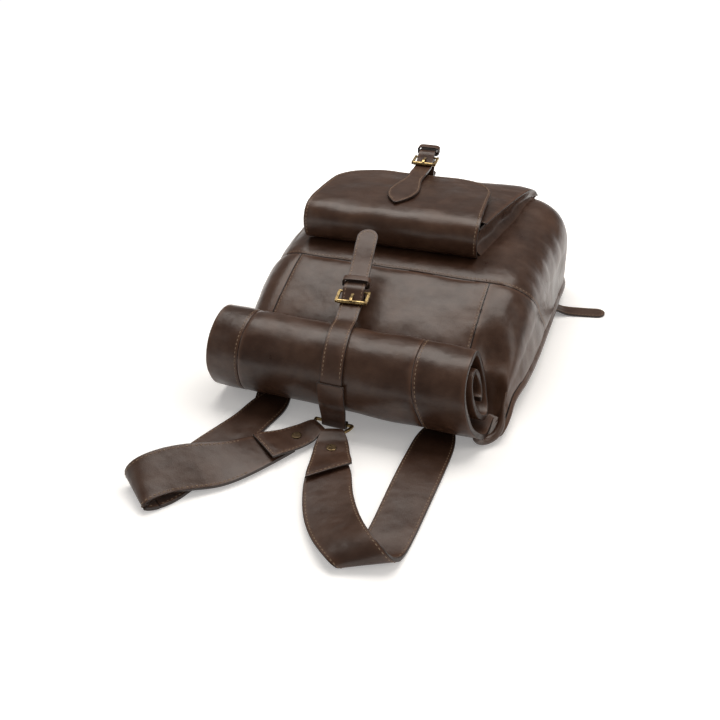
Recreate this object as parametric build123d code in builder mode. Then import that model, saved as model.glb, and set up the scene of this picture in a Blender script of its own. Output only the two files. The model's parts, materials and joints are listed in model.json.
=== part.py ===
from build123d import *
import os
from math import atan, cos, degrees, radians, sin

# A roll-top leather backpack that lies on its back. +X runs along the roll, +Y from the roll
# to the bag's base, and +Z from the back to the front. The origin lies in the flat face of
# the back, on which the bag rests, about halfway between the roll's near side and the base.

LEATHER = 2.4          # body leather
STRAP = 2.4            # narrow straps
LINING = 1.0

# Main body
BACK_FLAT = 70         # half width of the flat part of the back, before its fillets
BACK_FILLET = 50
SEAM_HEIGHT = 24       # back-to-side seam
BACK_LEFT, BACK_RIGHT = -148, 169
BODY_NEAR, BODY_FAR = -111, 200
YOKE_TOP = (-26, 98)   # the yoke seam is a slanted cut through two points (Y, Z)
YOKE_SIDE = (25, 24)
PANEL_SEAMS = (-101, 112)
# Sections across the bag: Y, left, right, height of the front, corner radius
SECTIONS = [
    (BODY_NEAR, -134, 160, 58, 24),
    (-75, -139, 165, 78, 34),
    (-28, -144, 168, 99, 42),
    (40, BACK_LEFT, BACK_RIGHT, 107, 46),
    (120, BACK_LEFT, BACK_RIGHT, 112, 46),
    (172, -145, 167, 118, 44),
    (BODY_FAR, -132, 154, 108, 42),
]
SIDE_LEAN = 6          # the sides lean in by this much towards the front

# Rolled mouth
ROLL_Y, ROLL_Z = -153.5, 46.5
ROLL_RADIUS = 41.5
ROLL_LEFT, ROLL_RIGHT = -132, 142
BAND_LEFT, BAND_RIGHT = 35, 50
ROLL_LAYER = 4.6
ROLL_HALF_TURNS = 5
ROLL_PITCH = 6.3       # loss of radius in half a turn

# Closure strap over the roll
CLOSURE_X, CLOSURE_SKEW = -3.5, 8
CLOSURE_WIDTH = 22
CLOSURE_HINGE = 14     # degrees above the roll's near side
WRAP_LIFT = 0.3        # leather on the roll clears it by this
CLOSURE_SNAP = 80
CLOSURE_BUCKLE = (50, 98, 8)    # local y and z of the buckle's middle, and its upward tilt

# Front pocket
POCKET_X, POCKET_Y, POCKET_SKEW = -8, 3, 2
POCKET_FLOOR = 108
POCKET_FAR = 192
FLAP_CREST = (9, 147.5)
FLAP_HALF = 99
FLAP_REACH = 131
FLAP_CORNER = 48
POCKET_STRAP = 20
POCKET_SNAP = 168
POCKET_BUCKLE = (148, 160, 8)

# Ring and straps
RING_WIRE = 1.7
RING_RADIUS = 19
RING_PIVOT = (3, -191, 6)
EYE = 2.9              # bore of a tab's eye: it clears the ring's curve
TAB_LENGTH = 58
RIVET_AT = 23
SHOULDER = 3.4
LOWER_WIDTH = 20
FLOOR_CLEAR = 0.3
# Edge points (X, Y, Z) of each shoulder strap, from under its tab round the loop to its end
LEFT_LOOP = [
    ((-38, -225, 3.2), (-16, -241, 3.2)),
    ((-59, -241, 7), (-26, -266, 5)),
    ((-75, -272, 19), (-57, -313, 4)),
    ((-94, -289, 25), (-76, -326, 6.5)),
    ((-113, -305, 27), (-92, -343, 10)),
    ((-128, -321, 26), (-98, -354, 11)),
    ((-136, -332, 24), (-102, -361, 10.5)),
    ((-140, -338, 17), (-104, -365, 7.5)),
    ((-139, -337, 8), (-103, -363.5, 4)),
    ((-134, -332, 3.5), (-97, -357, 2.2)),
    ((-126, -322, 2), (-86, -346, 2)),
    ((-121, -303, 2), (-78, -320, 2)),
    ((-113, -264, 2), (-69, -274, 2)),
    ((-103, -232, 2), (-60, -240, 2)),
    ((-94, -202, 2), (-56, -209, 2)),
    ((-87, -189, 2), (-67, -192, 2)),
]
RIGHT_LOOP = [
    ((6, -245, 3.2), (32, -236, 3.2)),
    ((7, -269, 5), (46, -255, 6)),
    ((17, -299, 4.5), (55, -278, 9)),
    ((33, -330, 5), (73, -310, 14)),
    ((51, -351, 7), (90, -334, 22)),
    ((64, -362, 10), (103, -346, 24)),
    ((71, -366.5, 9.5), (111, -350, 21)),
    ((74, -368.5, 6.5), (115.5, -351.5, 15)),
    ((74.5, -367, 3.5), (117, -349, 8)),
    ((77, -362, 2.2), (119.5, -343, 4)),
    ((81, -346, 2), (121, -327, 2)),
    ((83, -318, 2), (122, -305, 2)),
    ((82, -268, 2), (122.5, -264, 2)),
    ((81.5, -215, 2), (123, -210, 2)),
    ((82, -203, 2), (123, -198, 2)),
    ((92, -188, 2), (112, -186, 2)),
]

os.makedirs("parts", exist_ok=True)


def save(part, name):
    part.label = name
    export_step(part, f"parts/{name}.step")


def level(x, y, z, turn=0):
    """A level frame at a point, turned about the vertical."""
    return Plane((x, y, z), x_dir=(cos(radians(turn)), sin(radians(turn)), 0), z_dir=(0, 0, 1))


def side(frame, x=0):
    """The plane of a side view in a frame: its x is the frame's y, and its y is upward."""
    return Plane(frame.from_local_coords(Vector(x, 0, 0)), x_dir=frame.y_dir, z_dir=frame.x_dir)


def across(y):
    """The plane across the bag at a given Y, with Z upward."""
    return Plane.XZ.offset(-y)


def tilted(frame, y, z, tilt):
    """A frame at local (0, y, z) whose y axis rises by the tilt."""
    rise = radians(tilt)
    along = frame.y_dir * cos(rise) + frame.z_dir * sin(rise)
    return Plane(frame.from_local_coords(Vector(0, y, z)), x_dir=frame.x_dir,
                 z_dir=frame.x_dir.cross(along))


# ------------------------------------------------------------------ body shells


def body_space(inset, near, far):
    """The bag's form between the side seams and the front, drawn in by an inset."""
    ends = {BODY_NEAR: BODY_NEAR + near, BODY_FAR: BODY_FAR - far}
    with BuildPart() as space:
        for y, left, right, top, corner in SECTIONS:
            with BuildSketch(across(ends.get(y, y))) as section:
                Polygon(
                    (left + inset, SEAM_HEIGHT),
                    (right - inset, SEAM_HEIGHT),
                    (right - inset - SIDE_LEAN, top - inset),
                    (left + inset + SIDE_LEAN, top - inset),
                    align=None,
                )
                fillet(section.vertices().group_by(Axis.Y)[-1], corner - inset)
        loft()
    return space.part


outer_form = body_space(0, 0, 0)
inner_form = body_space(LEATHER, -1, LEATHER)
lining_outer = body_space(LEATHER + 0.9, 1, LEATHER + 4.4)
lining_inner = body_space(LEATHER + 0.9 + LINING, 0, LEATHER + 4.4 + LINING)

yoke_dir = Vector(0, YOKE_TOP[0] - YOKE_SIDE[0], YOKE_TOP[1] - YOKE_SIDE[1])
YOKE = Plane((0, *YOKE_SIDE), x_dir=(1, 0, 0), z_dir=Vector(1, 0, 0).cross(yoke_dir))


def shell_panel(cuts):
    """The part of the leather shell on the kept side of each cut."""
    with BuildPart() as panel:
        add(outer_form)
        add(inner_form, mode=Mode.SUBTRACT)
        for plane, keep in cuts:
            split(bisect_by=plane, keep=keep)
    return panel.part


FAR_CUT = Plane.XZ.offset(-(BODY_FAR - LEATHER))
LEFT_CUT = Plane.YZ.offset(PANEL_SEAMS[0])
RIGHT_CUT = Plane.YZ.offset(PANEL_SEAMS[1])
# YOKE's normal points to the roll, and FAR_CUT's too
PANELS = {
    "lower_body": [(YOKE, Keep.BOTTOM), (FAR_CUT, Keep.TOP)],
    "base_panel": [(FAR_CUT, Keep.BOTTOM)],
    "upper_front": [(YOKE, Keep.TOP), (LEFT_CUT, Keep.TOP), (RIGHT_CUT, Keep.BOTTOM)],
    "upper_side_left": [(YOKE, Keep.TOP), (LEFT_CUT, Keep.BOTTOM)],
    "upper_side_right": [(YOKE, Keep.TOP), (RIGHT_CUT, Keep.TOP)],
}
for panel_name, panel_cuts in PANELS.items():
    save(shell_panel(panel_cuts), panel_name)

with BuildPart() as main_lining:
    add(lining_outer)
    add(lining_inner, mode=Mode.SUBTRACT)
save(main_lining.part, "main_lining")

# The back is one curved panel with a flat middle, cut to the bag's outline
with BuildPart() as back_panel:
    with BuildSketch(across(BODY_NEAR)):
        with BuildLine():
            FilletPolyline(
                (BACK_LEFT, SEAM_HEIGHT - 0.2),
                (-BACK_FLAT, 0),
                (BACK_FLAT, 0),
                (BACK_RIGHT, SEAM_HEIGHT - 0.2),
                radius=BACK_FILLET,
            )
            offset(amount=LEATHER, side=Side.LEFT)
        make_face()
    extrude(amount=-(BODY_FAR - BODY_NEAR))
    with BuildSketch(Plane.XY):
        Polygon(
            (-134, BODY_NEAR), (160, BODY_NEAR), (BACK_RIGHT, 0), (BACK_RIGHT, 150), (154, BODY_FAR),
            (-132, BODY_FAR), (BACK_LEFT, 150), (BACK_LEFT, 0), align=None,
        )
    extrude(amount=SEAM_HEIGHT - 0.1, mode=Mode.INTERSECT)
save(back_panel.part, "back_panel")

with BuildPart() as back_foam:
    with BuildSketch(Plane.XY.offset(LEATHER + 0.2)):
        with Locations((0, (BODY_NEAR + BODY_FAR) / 2 + 4)):
            RectangleRounded(2 * BACK_FLAT - 20, BODY_FAR - BODY_NEAR - 30, 18)
    extrude(amount=7)
    fillet(back_foam.faces().sort_by(Axis.Z)[-1].edges(), 3)
save(back_foam.part, "back_foam")

with BuildPart() as base_board:
    with BuildSketch(across(BODY_FAR - LEATHER - 0.4)):
        with Locations((8, 60)):
            RectangleRounded(244, 62, 20)
    extrude(amount=3)
save(base_board.part, "base_board")

# ------------------------------------------------------------------ rolled mouth


def spiral_arcs(lift):
    """Half-circle arcs of the roll's band, at a lift from its middle line."""
    arcs = []
    radius = ROLL_RADIUS - ROLL_LAYER / 2
    height = ROLL_Z
    for turn in range(ROLL_HALF_TURNS):
        way = 1 if turn % 2 == 0 else -1
        reach = radius + lift
        arcs.append((
            (ROLL_Y, height - way * reach),
            (ROLL_Y - way * reach, height),
            (ROLL_Y, height + way * reach),
        ))
        radius -= ROLL_PITCH
        height += way * ROLL_PITCH
    return arcs


def roll_piece(start, end):
    """A length of the roll between two X positions."""
    with BuildPart() as piece:
        with BuildSketch(Plane.YZ.offset(start)):
            with BuildLine():
                outer = spiral_arcs(ROLL_LAYER / 2)
                inner = spiral_arcs(-ROLL_LAYER / 2)
                Line((BODY_NEAR, outer[0][0][1] - 2), outer[0][0])
                for arc in outer:
                    ThreePointArc(*arc)
                Line(outer[-1][2], inner[-1][2])
                for arc in reversed(inner):
                    ThreePointArc(*reversed(arc))
                Line(inner[0][0], (BODY_NEAR, inner[0][0][1] - 2))
                Line((BODY_NEAR, inner[0][0][1] - 2), (BODY_NEAR, outer[0][0][1] - 2))
            make_face()
        extrude(amount=end - start)
    return piece.part


save(roll_piece(ROLL_LEFT, ROLL_LEFT + BAND_LEFT), "roll_band_left")
save(roll_piece(ROLL_LEFT + BAND_LEFT, ROLL_RIGHT - BAND_RIGHT), "roll_centre")
save(roll_piece(ROLL_RIGHT - BAND_RIGHT, ROLL_RIGHT), "roll_band_right")

# ------------------------------------------------------------------ buckles

WIRE = 1.3             # radius of a buckle's bars
ROLLER = 2.2
RAIL = 2.6
RUNNING = 0.05
EYE_WALL = 1.8


def roller_buckle(name, frame, width, length):
    """Frame, roller and tongue of a heel-bar buckle. The roller bar is at local -y."""
    reach = length / 2 - WIRE
    clear = width / 2 - RAIL
    with BuildPart() as buckle_frame:
        with BuildSketch(frame.offset(-WIRE)):
            with Locations((clear + RAIL / 2, 0), (-clear - RAIL / 2, 0)):
                RectangleRounded(RAIL, length, 1.2)
        extrude(amount=2 * WIRE)
        for end in (reach, -reach):
            with BuildSketch(side(frame, -clear - 0.5)):
                with Locations((end, 0)):
                    Circle(WIRE)
            extrude(amount=2 * clear + 1)
    save(buckle_frame.part, f"{name}_frame")
    with BuildPart() as roller:
        with BuildSketch(side(frame, -clear + 0.3)):
            with Locations((-reach, 0)):
                Circle(ROLLER)
                Circle(WIRE + RUNNING, mode=Mode.SUBTRACT)
        extrude(amount=2 * clear - 0.6)
    save(roller.part, f"{name}_roller")
    with BuildPart() as tongue:
        with BuildSketch(side(frame)):
            with Locations((reach, 0)):
                Circle(WIRE + 1.2)
            Polygon(
                (reach, 0.6), (reach, WIRE + 1.2), (-reach + 1, ROLLER + 2.4),
                (-reach - 2.6, ROLLER + 1.5), (-reach - 2.2, ROLLER + 0.3), (-reach + 1, ROLLER + 0.5),
                align=None,
            )
            with Locations((reach, 0)):
                Circle(WIRE + RUNNING, mode=Mode.SUBTRACT)
        extrude(amount=1.3, both=True)
    save(tongue.part, f"{name}_tongue")


def strap_solid(frame, path, radii, width, thickness=STRAP):
    """A strap drawn in side view as a rounded polyline, on its lower face."""
    with BuildPart() as strap:
        with BuildSketch(side(frame)):
            with BuildLine():
                FilletPolyline(*path, radius=radii)
                offset(amount=thickness, side=Side.LEFT)
            make_face()
        extrude(amount=width / 2, both=True)
    return strap.part


def through_buckle(frame, buckle, length):
    """Points of a strap's lower face from under the roller bar to over the heel bar."""
    middle = tilted(frame, *buckle)
    reach = length / 2 - WIRE
    low = -ROLLER - 0.3 - STRAP
    high = WIRE + 0.2 + STRAP + 0.4
    points = []
    for y, z in ((-reach - 5, low), (-reach + 1.5, low), (reach - 3.5, high), (reach + 14, high)):
        local = frame.to_local_coords(middle.from_local_coords(Vector(0, y, z)))
        points.append((local.Y, local.Z))
    return points


def buckle_slot(frame, buckle, length):
    """The hole that a buckle's tongue comes up through."""
    middle = tilted(frame, *buckle)
    with BuildPart(mode=Mode.PRIVATE) as slot:
        with BuildSketch(middle.offset(-8)):
            with Locations((0, -1)):
                SlotOverall(length - 5, 3.6, rotation=90)
        extrude(amount=16)
    return slot.part


# ------------------------------------------------------------------ closure strap
BUCKLE_LENGTH = 20
closure = level(CLOSURE_X, ROLL_Y, 0, CLOSURE_SKEW)


def on_roll(angle, lift):
    """(Y, Z) at an angle above the roll's near side and a height over its surface."""
    reach = ROLL_RADIUS + lift
    return (ROLL_Y - reach * cos(radians(angle)), ROLL_Z + reach * sin(radians(angle)))


def roll_wrap(start, end, lift, thickness, width):
    """Leather that lies on the roll between two angles, cut to a skewed strip."""
    middle = (start + end) / 2
    with BuildPart() as wrap:
        with BuildSketch(Plane.YZ.offset(CLOSURE_X - 40)):
            with BuildLine():
                ThreePointArc(on_roll(start, lift), on_roll(middle, lift), on_roll(end, lift))
                Line(on_roll(end, lift), on_roll(end, lift + thickness))
                ThreePointArc(
                    on_roll(end, lift + thickness),
                    on_roll(middle, lift + thickness),
                    on_roll(start, lift + thickness),
                )
                Line(on_roll(start, lift + thickness), on_roll(start, lift))
            make_face()
        extrude(amount=80)
        with BuildSketch(closure):
            Rectangle(width, 4 * ROLL_RADIUS)
        extrude(amount=3 * ROLL_RADIUS, mode=Mode.INTERSECT)
    return wrap.part


save(roll_wrap(-26, CLOSURE_HINGE - 2.4, WRAP_LIFT, STRAP, CLOSURE_WIDTH), "closure_strap_base")

PATCH = 2.2
PATCH_WIDTH = 27
patch_lift = WRAP_LIFT + 0.1 + STRAP
ring_y, ring_z = RING_PIVOT[1:]
with BuildPart() as rear_patch:
    add(roll_wrap(-34, CLOSURE_HINGE - 4, patch_lift, PATCH, PATCH_WIDTH))
    with BuildSketch(Plane.YZ.offset(CLOSURE_X + 4 - PATCH_WIDTH / 2)):
        with BuildLine():
            FilletPolyline(
                on_roll(-29, patch_lift), (ring_y - RING_WIRE - 2.4, ring_z), (ring_y, ring_z - 4),
                (ring_y + RING_WIRE + 2.4, ring_z), on_roll(-46, 2.8), radius=1.6,
            )
            offset(amount=2.0, side=Side.LEFT)
        make_face()
    extrude(amount=PATCH_WIDTH)
    with BuildSketch(Plane.YZ):
        with Locations((ring_y, ring_z)):
            Circle(RING_WIRE + RUNNING)
    extrude(amount=RING_RADIUS + 10, both=True, mode=Mode.SUBTRACT)
save(rear_patch.part, "rear_patch")

closure_bends = through_buckle(closure, CLOSURE_BUCKLE, BUCKLE_LENGTH)
wrap_end = 88
with BuildPart() as closure_strap:
    add(roll_wrap(CLOSURE_HINGE, wrap_end, WRAP_LIFT + 0.1, STRAP, CLOSURE_WIDTH))
    start_y, start_z = on_roll(wrap_end, WRAP_LIFT + 0.1)
    start = (start_y - ROLL_Y, start_z)
    path = [start, *closure_bends[1:], (closure_bends[-1][0] + 53, closure_bends[-1][1] + 29)]
    add(strap_solid(closure, path, [3, 4, 10], CLOSURE_WIDTH))
    add(buckle_slot(closure, CLOSURE_BUCKLE, BUCKLE_LENGTH), mode=Mode.SUBTRACT)
save(closure_strap.part, "closure_strap")
roller_buckle("closure_buckle", tilted(closure, *CLOSURE_BUCKLE), 33, BUCKLE_LENGTH)

# A chape holds the buckle's heel bar and drops to a snap on the leather below
CHAPE = 3.2
SNAP_HEIGHT = 5.2
SNAP_DISC = 0.4
SNAP_SEAT = 1.3        # the post's disc sits this far up, clear of the curved leather


def height_of(form, frame, y):
    """The height of a form's upper surface at a local y on a frame's centre line."""
    place = frame.from_local_coords(Vector(0, y, 0))
    hits = form.find_intersection_points(Axis((place.X, place.Y, 400), (0, 0, -1)))
    return max(point.Z for point, normal in hits)


def chape(name, frame, buckle, form, width, snap_y):
    """A strap from an eye round the heel bar down to a snap, slotted for the tongue."""
    middle = tilted(frame, *buckle)
    bar = BUCKLE_LENGTH / 2 - WIRE
    heel = frame.to_local_coords(middle.from_local_coords(Vector(0, bar, 0)))
    eye = WIRE + 0.05
    low, high = (height_of(form, frame, snap_y + step) for step in (-8, 8))
    rise = (high - low) / 16
    under = (low + high) / 2 + SNAP_HEIGHT
    path = [(heel.Y + eye, heel.Z), (snap_y - 9, under - 9 * rise), (snap_y + 9, under + 9 * rise)]
    with BuildPart() as holder:
        add(strap_solid(frame, path, [4], width, CHAPE))
        with BuildSketch(side(middle)):
            with Locations((bar, 0)):
                Circle(eye + EYE_WALL)
        extrude(amount=width / 2, both=True)
        with BuildSketch(side(middle)):
            with Locations((bar, 0)):
                Circle(eye)
        extrude(amount=width, both=True, mode=Mode.SUBTRACT)
        with BuildSketch(middle.offset(-5)):
            with Locations((0, bar)):
                Rectangle(3.4, 2 * (WIRE + 1.2) + 1.4)
        extrude(amount=10, mode=Mode.SUBTRACT)
    save(holder.part, f"{name}_chape")
    face = tilted(frame, snap_y, under, degrees(atan(rise)))
    with BuildPart() as cap:
        with BuildSketch(face.offset(-3.4)):
            Circle(6)
            Circle(2.6, mode=Mode.SUBTRACT)
        extrude(amount=3.3)
        with BuildSketch(face.offset(-1)):
            Circle(3)
        extrude(amount=0.9)
    save(cap.part, f"{name}_snap_cap")
    with BuildPart() as post:
        with BuildSketch(face.offset(SNAP_SEAT - SNAP_HEIGHT)):
            Circle(6)
        extrude(amount=SNAP_DISC)
        with BuildSketch(face.offset(SNAP_SEAT - SNAP_HEIGHT)):
            Circle(2)
        extrude(amount=SNAP_HEIGHT - SNAP_SEAT - 1.3)
    save(post.part, f"{name}_snap_post")


def keeper(name, frame, buckle, y, width, low, high):
    """A closed leather loop round the strap and the chape."""
    middle = tilted(frame, *buckle)
    with BuildPart() as loop:
        with BuildSketch(Plane(middle.from_local_coords(Vector(0, y, 0)),
                               x_dir=middle.x_dir, z_dir=middle.y_dir)):
            with Locations((0, -(low + high) / 2)):
                RectangleRounded(width + 5, high - low + 3, 2.2)
                RectangleRounded(width + 1.6, high - low, 1.2, mode=Mode.SUBTRACT)
        extrude(amount=4, both=True)
    save(loop.part, name)


chape("closure", closure, CLOSURE_BUCKLE, outer_form, 20, CLOSURE_SNAP)
keeper("closure_keeper", closure, CLOSURE_BUCKLE, 19, CLOSURE_WIDTH, 2.6, 8.2)

# ------------------------------------------------------------------ ring and strap tabs
ring_frame = level(*RING_PIVOT)
with BuildPart() as ring:
    with BuildSketch(Plane(RING_PIVOT, x_dir=(1, 0, 0), z_dir=(0, -1, 0))):
        with Locations((RING_RADIUS, 0)):
            Circle(RING_WIRE)
    revolve(axis=Axis(RING_PIVOT, (0, 0, -1)), revolution_arc=180)
    with BuildSketch(side(ring_frame, -RING_RADIUS)):
        Circle(RING_WIRE)
    extrude(amount=2 * RING_RADIUS)
    with Locations(*[ring_frame.from_local_coords(Vector(x, 0, 0)) for x in (-RING_RADIUS, RING_RADIUS)]):
        Sphere(RING_WIRE)
save(ring.part, "ring")

TAB_LAYER = 2


def strap_tab(side_name, turn):
    """A tab of leather: an eye round the ring, a riveted neck, and an end over the strap."""
    hub = level(*RING_PIVOT, turn)
    frame = level(*hub.from_local_coords(Vector(0, -RING_RADIUS, 0)), turn)
    neck = -14
    single = -RIVET_AT - 8
    with BuildPart() as tab:
        with BuildSketch(side(frame)):
            Circle(EYE + EYE_WALL)
            Polygon(
                (0, EYE + EYE_WALL), (neck, 1), (single, 1.2), (-TAB_LENGTH, 5),
                (-TAB_LENGTH, 5 - TAB_LAYER), (single, 1 - TAB_LAYER), (single, 1 - 2 * TAB_LAYER),
                (neck, 1 - 2 * TAB_LAYER), (0, -EYE - EYE_WALL), align=None,
            )
            Circle(EYE, mode=Mode.SUBTRACT)
        extrude(amount=24, both=True)
        with BuildSketch(frame.offset(-10)):
            Polygon(
                (6, 7), (6, -8), (13, -18), (20, -TAB_LENGTH), (-20, -TAB_LENGTH), (-13, -18), (-6, -8),
                (-6, 7), align=None,
            )
        extrude(amount=24, mode=Mode.INTERSECT)
        with BuildSketch(frame.offset(-10)):
            with Locations((0, -RIVET_AT)):
                Circle(1.5)
        extrude(amount=24, mode=Mode.SUBTRACT)
    save(tab.part, f"strap_tab_{side_name}")
    middle = level(*frame.from_local_coords(Vector(0, -RIVET_AT, 1 - 2 * TAB_LAYER)), turn)
    with BuildPart() as rivet:
        for low, high, radius in ((-1, 0, 4), (0, 2 * TAB_LAYER + 0.3, 1.45), (2 * TAB_LAYER + 0.3, 5.6, 5)):
            with BuildSketch(middle.offset(low)):
                Circle(radius)
            extrude(amount=high - low)
        fillet(rivet.edges().sort_by(Axis.Z)[-1], 0.9)
    save(rivet.part, f"tab_rivet_{side_name}")


strap_tab("left", -36)
strap_tab("right", 18.5)

# ------------------------------------------------------------------ shoulder and lower straps


def ribbon(edges, thickness):
    """A soft strap through pairs of edge points: a rectangle at each pair, lofted straight."""
    left = [Vector(*a) for a, b in edges]
    right = [Vector(*b) for a, b in edges]
    middle = [(a + b) / 2 for a, b in zip(left, right)]
    last = len(edges) - 1
    with BuildPart() as strap:
        for i in range(len(edges)):
            across_strap = right[i] - left[i]
            run = middle[min(i + 1, last)] - middle[max(i - 1, 0)]
            normal = across_strap.cross(run)
            plane = Plane(middle[i], x_dir=across_strap, z_dir=normal.cross(across_strap))
            with BuildSketch(plane):
                Rectangle(across_strap.length, thickness)
        loft(ruled=True)
    return strap.part


def flat_edges(x, y, z, turn, half=LOWER_WIDTH / 2):
    """The two edge points of a level strap that runs along a turned frame's y."""
    frame = level(x, y, z, turn)
    return (tuple(frame.from_local_coords(Vector(-half, 0, 0))),
            tuple(frame.from_local_coords(Vector(half, 0, 0))))


save(ribbon(LEFT_LOOP, SHOULDER), "shoulder_strap_left")
save(ribbon(RIGHT_LOOP, SHOULDER), "shoulder_strap_right")

ADJUSTER_LENGTH = 18
ADJUSTER_Z = 5.6
LOW = FLOOR_CLEAR + STRAP / 2
HIGH = ADJUSTER_Z + WIRE + 0.05 + EYE_WALL + 0.35 + STRAP / 2
# Middle of each adjuster and the turn of its strap about the vertical
ADJUSTERS = {"left": (-124, 62, 3), "right": (136, 96, -48)}
APPROACH = {
    "left": [(-77, -186.5, LOW, 15), (-97, -118, LOW, 14), (-112, -55, LOW, 11), (-121, 5, LOW, 7)],
    "right": [(102, -182.5, LOW, 0), (103, -60, LOW, 0), (104, 10, LOW, -4), (110, 55, LOW, -20),
              (119, 76, LOW, -34)],
}
TAILS = {
    "left": [(-126.5, 110, HIGH, 3), (-129, 150, HIGH, 3)],
    "right": [(153, 109, HIGH, -54), (166, 117, 9.3, -62), (180, 124, 3.2, -70), (196, 129, LOW, -78),
              (226, 136, LOW, -82)],
}
ANCHORS = {
    "left": [(-125.5, 90, 6.2, 3), (-127.5, 130, 6.8, 3), (-131, 192, 9.5, 3)],
    "right": [(149, 111, 5.9, -32), (152, 125, 6.2, -8), (150, 155, 8, 6), (143, 192, 10, 12)],
}

for side_name, (x, y, turn) in ADJUSTERS.items():
    frame = level(x, y, ADJUSTER_Z, turn)
    roller_buckle(f"adjuster_{side_name}", frame, LOWER_WIDTH + 9, ADJUSTER_LENGTH)
    bar = ADJUSTER_LENGTH / 2 - WIRE

    def at(along, z):
        place = frame.from_local_coords(Vector(0, along, 0))
        return (place.X, place.Y, z, turn)

    route = [*APPROACH[side_name], at(-bar - 4, LOW), at(-bar + 2, LOW), at(bar - 3, HIGH), at(bar + 6, HIGH),
             *TAILS[side_name]]
    with BuildPart() as lower_strap:
        add(ribbon([flat_edges(*station) for station in route], STRAP))
        add(buckle_slot(frame, (0, 0, 0), ADJUSTER_LENGTH), mode=Mode.SUBTRACT)
    save(lower_strap.part, f"lower_strap_{side_name}")
    with BuildPart() as anchor:
        with BuildSketch(side(frame)):
            with Locations((bar, 0)):
                Circle(WIRE + 0.05 + EYE_WALL)
                Rectangle(8, 2 * EYE_WALL, align=(Align.MIN, Align.CENTER))
                Circle(WIRE + 0.05, mode=Mode.SUBTRACT)
        extrude(amount=LOWER_WIDTH / 2 - 1, both=True)
        with BuildSketch(frame.offset(-8)):
            with Locations((0, bar - 1)):
                Rectangle(3.4, 8.4)
        extrude(amount=16, mode=Mode.SUBTRACT)
    save(anchor.part, f"anchor_eye_{side_name}")
    route = [at(bar + 8.2, ADJUSTER_Z), *ANCHORS[side_name]]
    save(ribbon([flat_edges(*station) for station in route], STRAP), f"anchor_strap_{side_name}")

# ------------------------------------------------------------------ front pocket
pocket = level(POCKET_X, POCKET_Y, 0, POCKET_SKEW)
POCKET_NEAR_HALF = 94
POCKET_FAR_LEFT, POCKET_FAR_RIGHT = 84, 134     # the right side flares out past the flap
MOUTH_NEAR, MOUTH_FAR = 11, 27     # the mouth is open between the fold and the pocket's front
MOUTH_HALF = 90
# Side view of the pocket: local (y, z) over the bag's front
POCKET_SIDE = [(MOUTH_NEAR, POCKET_FLOOR), (MOUTH_NEAR, 139), (60, 140), (140, 137), (178, 130), (193, 118)]


def pocket_space(inset):
    """The pocket's outer form, or its inside when it is drawn in by an inset."""
    with BuildPart() as space:
        with BuildSketch(side(pocket)):
            near, *rest = POCKET_SIDE
            top = [(y - (inset if i > 2 else 0), z - inset) for i, (y, z) in enumerate(rest)]
            Polygon(near, *top, (POCKET_SIDE[-1][0] - inset, 113), align=None)
        extrude(amount=POCKET_FAR_RIGHT + 10, both=True)
        with BuildSketch(pocket.offset(POCKET_FLOOR - 10)):
            Polygon(
                (-POCKET_NEAR_HALF + inset, 0), (POCKET_NEAR_HALF - inset, 0),
                (POCKET_FAR_RIGHT - inset, POCKET_FAR), (inset - POCKET_FAR_LEFT, POCKET_FAR),
                align=None,
            )
        extrude(amount=60, mode=Mode.INTERSECT)
    return space.part


pocket_outer = pocket_space(0)
pocket_inner = pocket_space(LEATHER)
GUSSET_CUT = POCKET_FLOOR + 22
with BuildPart() as pocket_shell:
    add(pocket_outer)
    add(pocket_inner, mode=Mode.SUBTRACT)
    with BuildSketch(side(pocket)):
        with Locations(((MOUTH_NEAR + MOUTH_FAR) / 2, POCKET_FLOOR)):
            Rectangle(MOUTH_FAR - MOUTH_NEAR, 100)
    extrude(amount=MOUTH_HALF, both=True, mode=Mode.SUBTRACT)
    add(outer_form, mode=Mode.SUBTRACT)
with BuildPart() as pocket_front:
    add(pocket_shell.part)
    split(bisect_by=pocket.offset(GUSSET_CUT), keep=Keep.TOP)
with BuildPart() as pocket_gusset:
    add(pocket_shell.part)
    split(bisect_by=pocket.offset(GUSSET_CUT), keep=Keep.BOTTOM)
save(pocket_front.part, "pocket_front")
save(pocket_gusset.part, "pocket_gusset")

# The flap: a fold that is sewn to the bag's front, and a panel that hinges at the fold's crest
crest_y, crest_z = FLAP_CREST
FLAP_THICK = 3.2
with BuildPart() as flap_root:
    with BuildSketch(side(pocket)):
        with BuildLine():
            base = (3, POCKET_FLOOR + 0.6)
            bulge = (crest_y - 16, (crest_z + POCKET_FLOOR) / 2 + 4)
            ThreePointArc(base, bulge, (crest_y - FLAP_THICK / 2 - 0.6, crest_z))
            offset(amount=FLAP_THICK, side=Side.RIGHT)
        make_face()
    extrude(amount=FLAP_HALF, both=True)
save(flap_root.part, "flap_root")

# Side view of the flap's lower face: from the crest over the pocket
FLAP_SIDE = [(crest_y, crest_z - FLAP_THICK / 2), (60, 149), (105, 146.6), (FLAP_REACH, 144.6)]
with BuildPart() as pocket_flap:
    with BuildSketch(side(pocket)):
        with BuildLine():
            FilletPolyline(*FLAP_SIDE, radius=[90, 30])
            offset(amount=FLAP_THICK, side=Side.LEFT)
        make_face()
        with Locations(FLAP_CREST):
            Circle(FLAP_THICK / 2)
    extrude(amount=FLAP_HALF, both=True)
    with BuildSketch(pocket.offset(crest_z - 30)):
        with Locations((0, FLAP_REACH / 2)):
            outline = Trapezoid(2 * FLAP_HALF, FLAP_REACH + 12, 87)
            fillet(outline.vertices().group_by(Axis.Y)[-1], FLAP_CORNER)
    extrude(amount=60, mode=Mode.INTERSECT)
save(pocket_flap.part, "pocket_flap")

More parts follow.
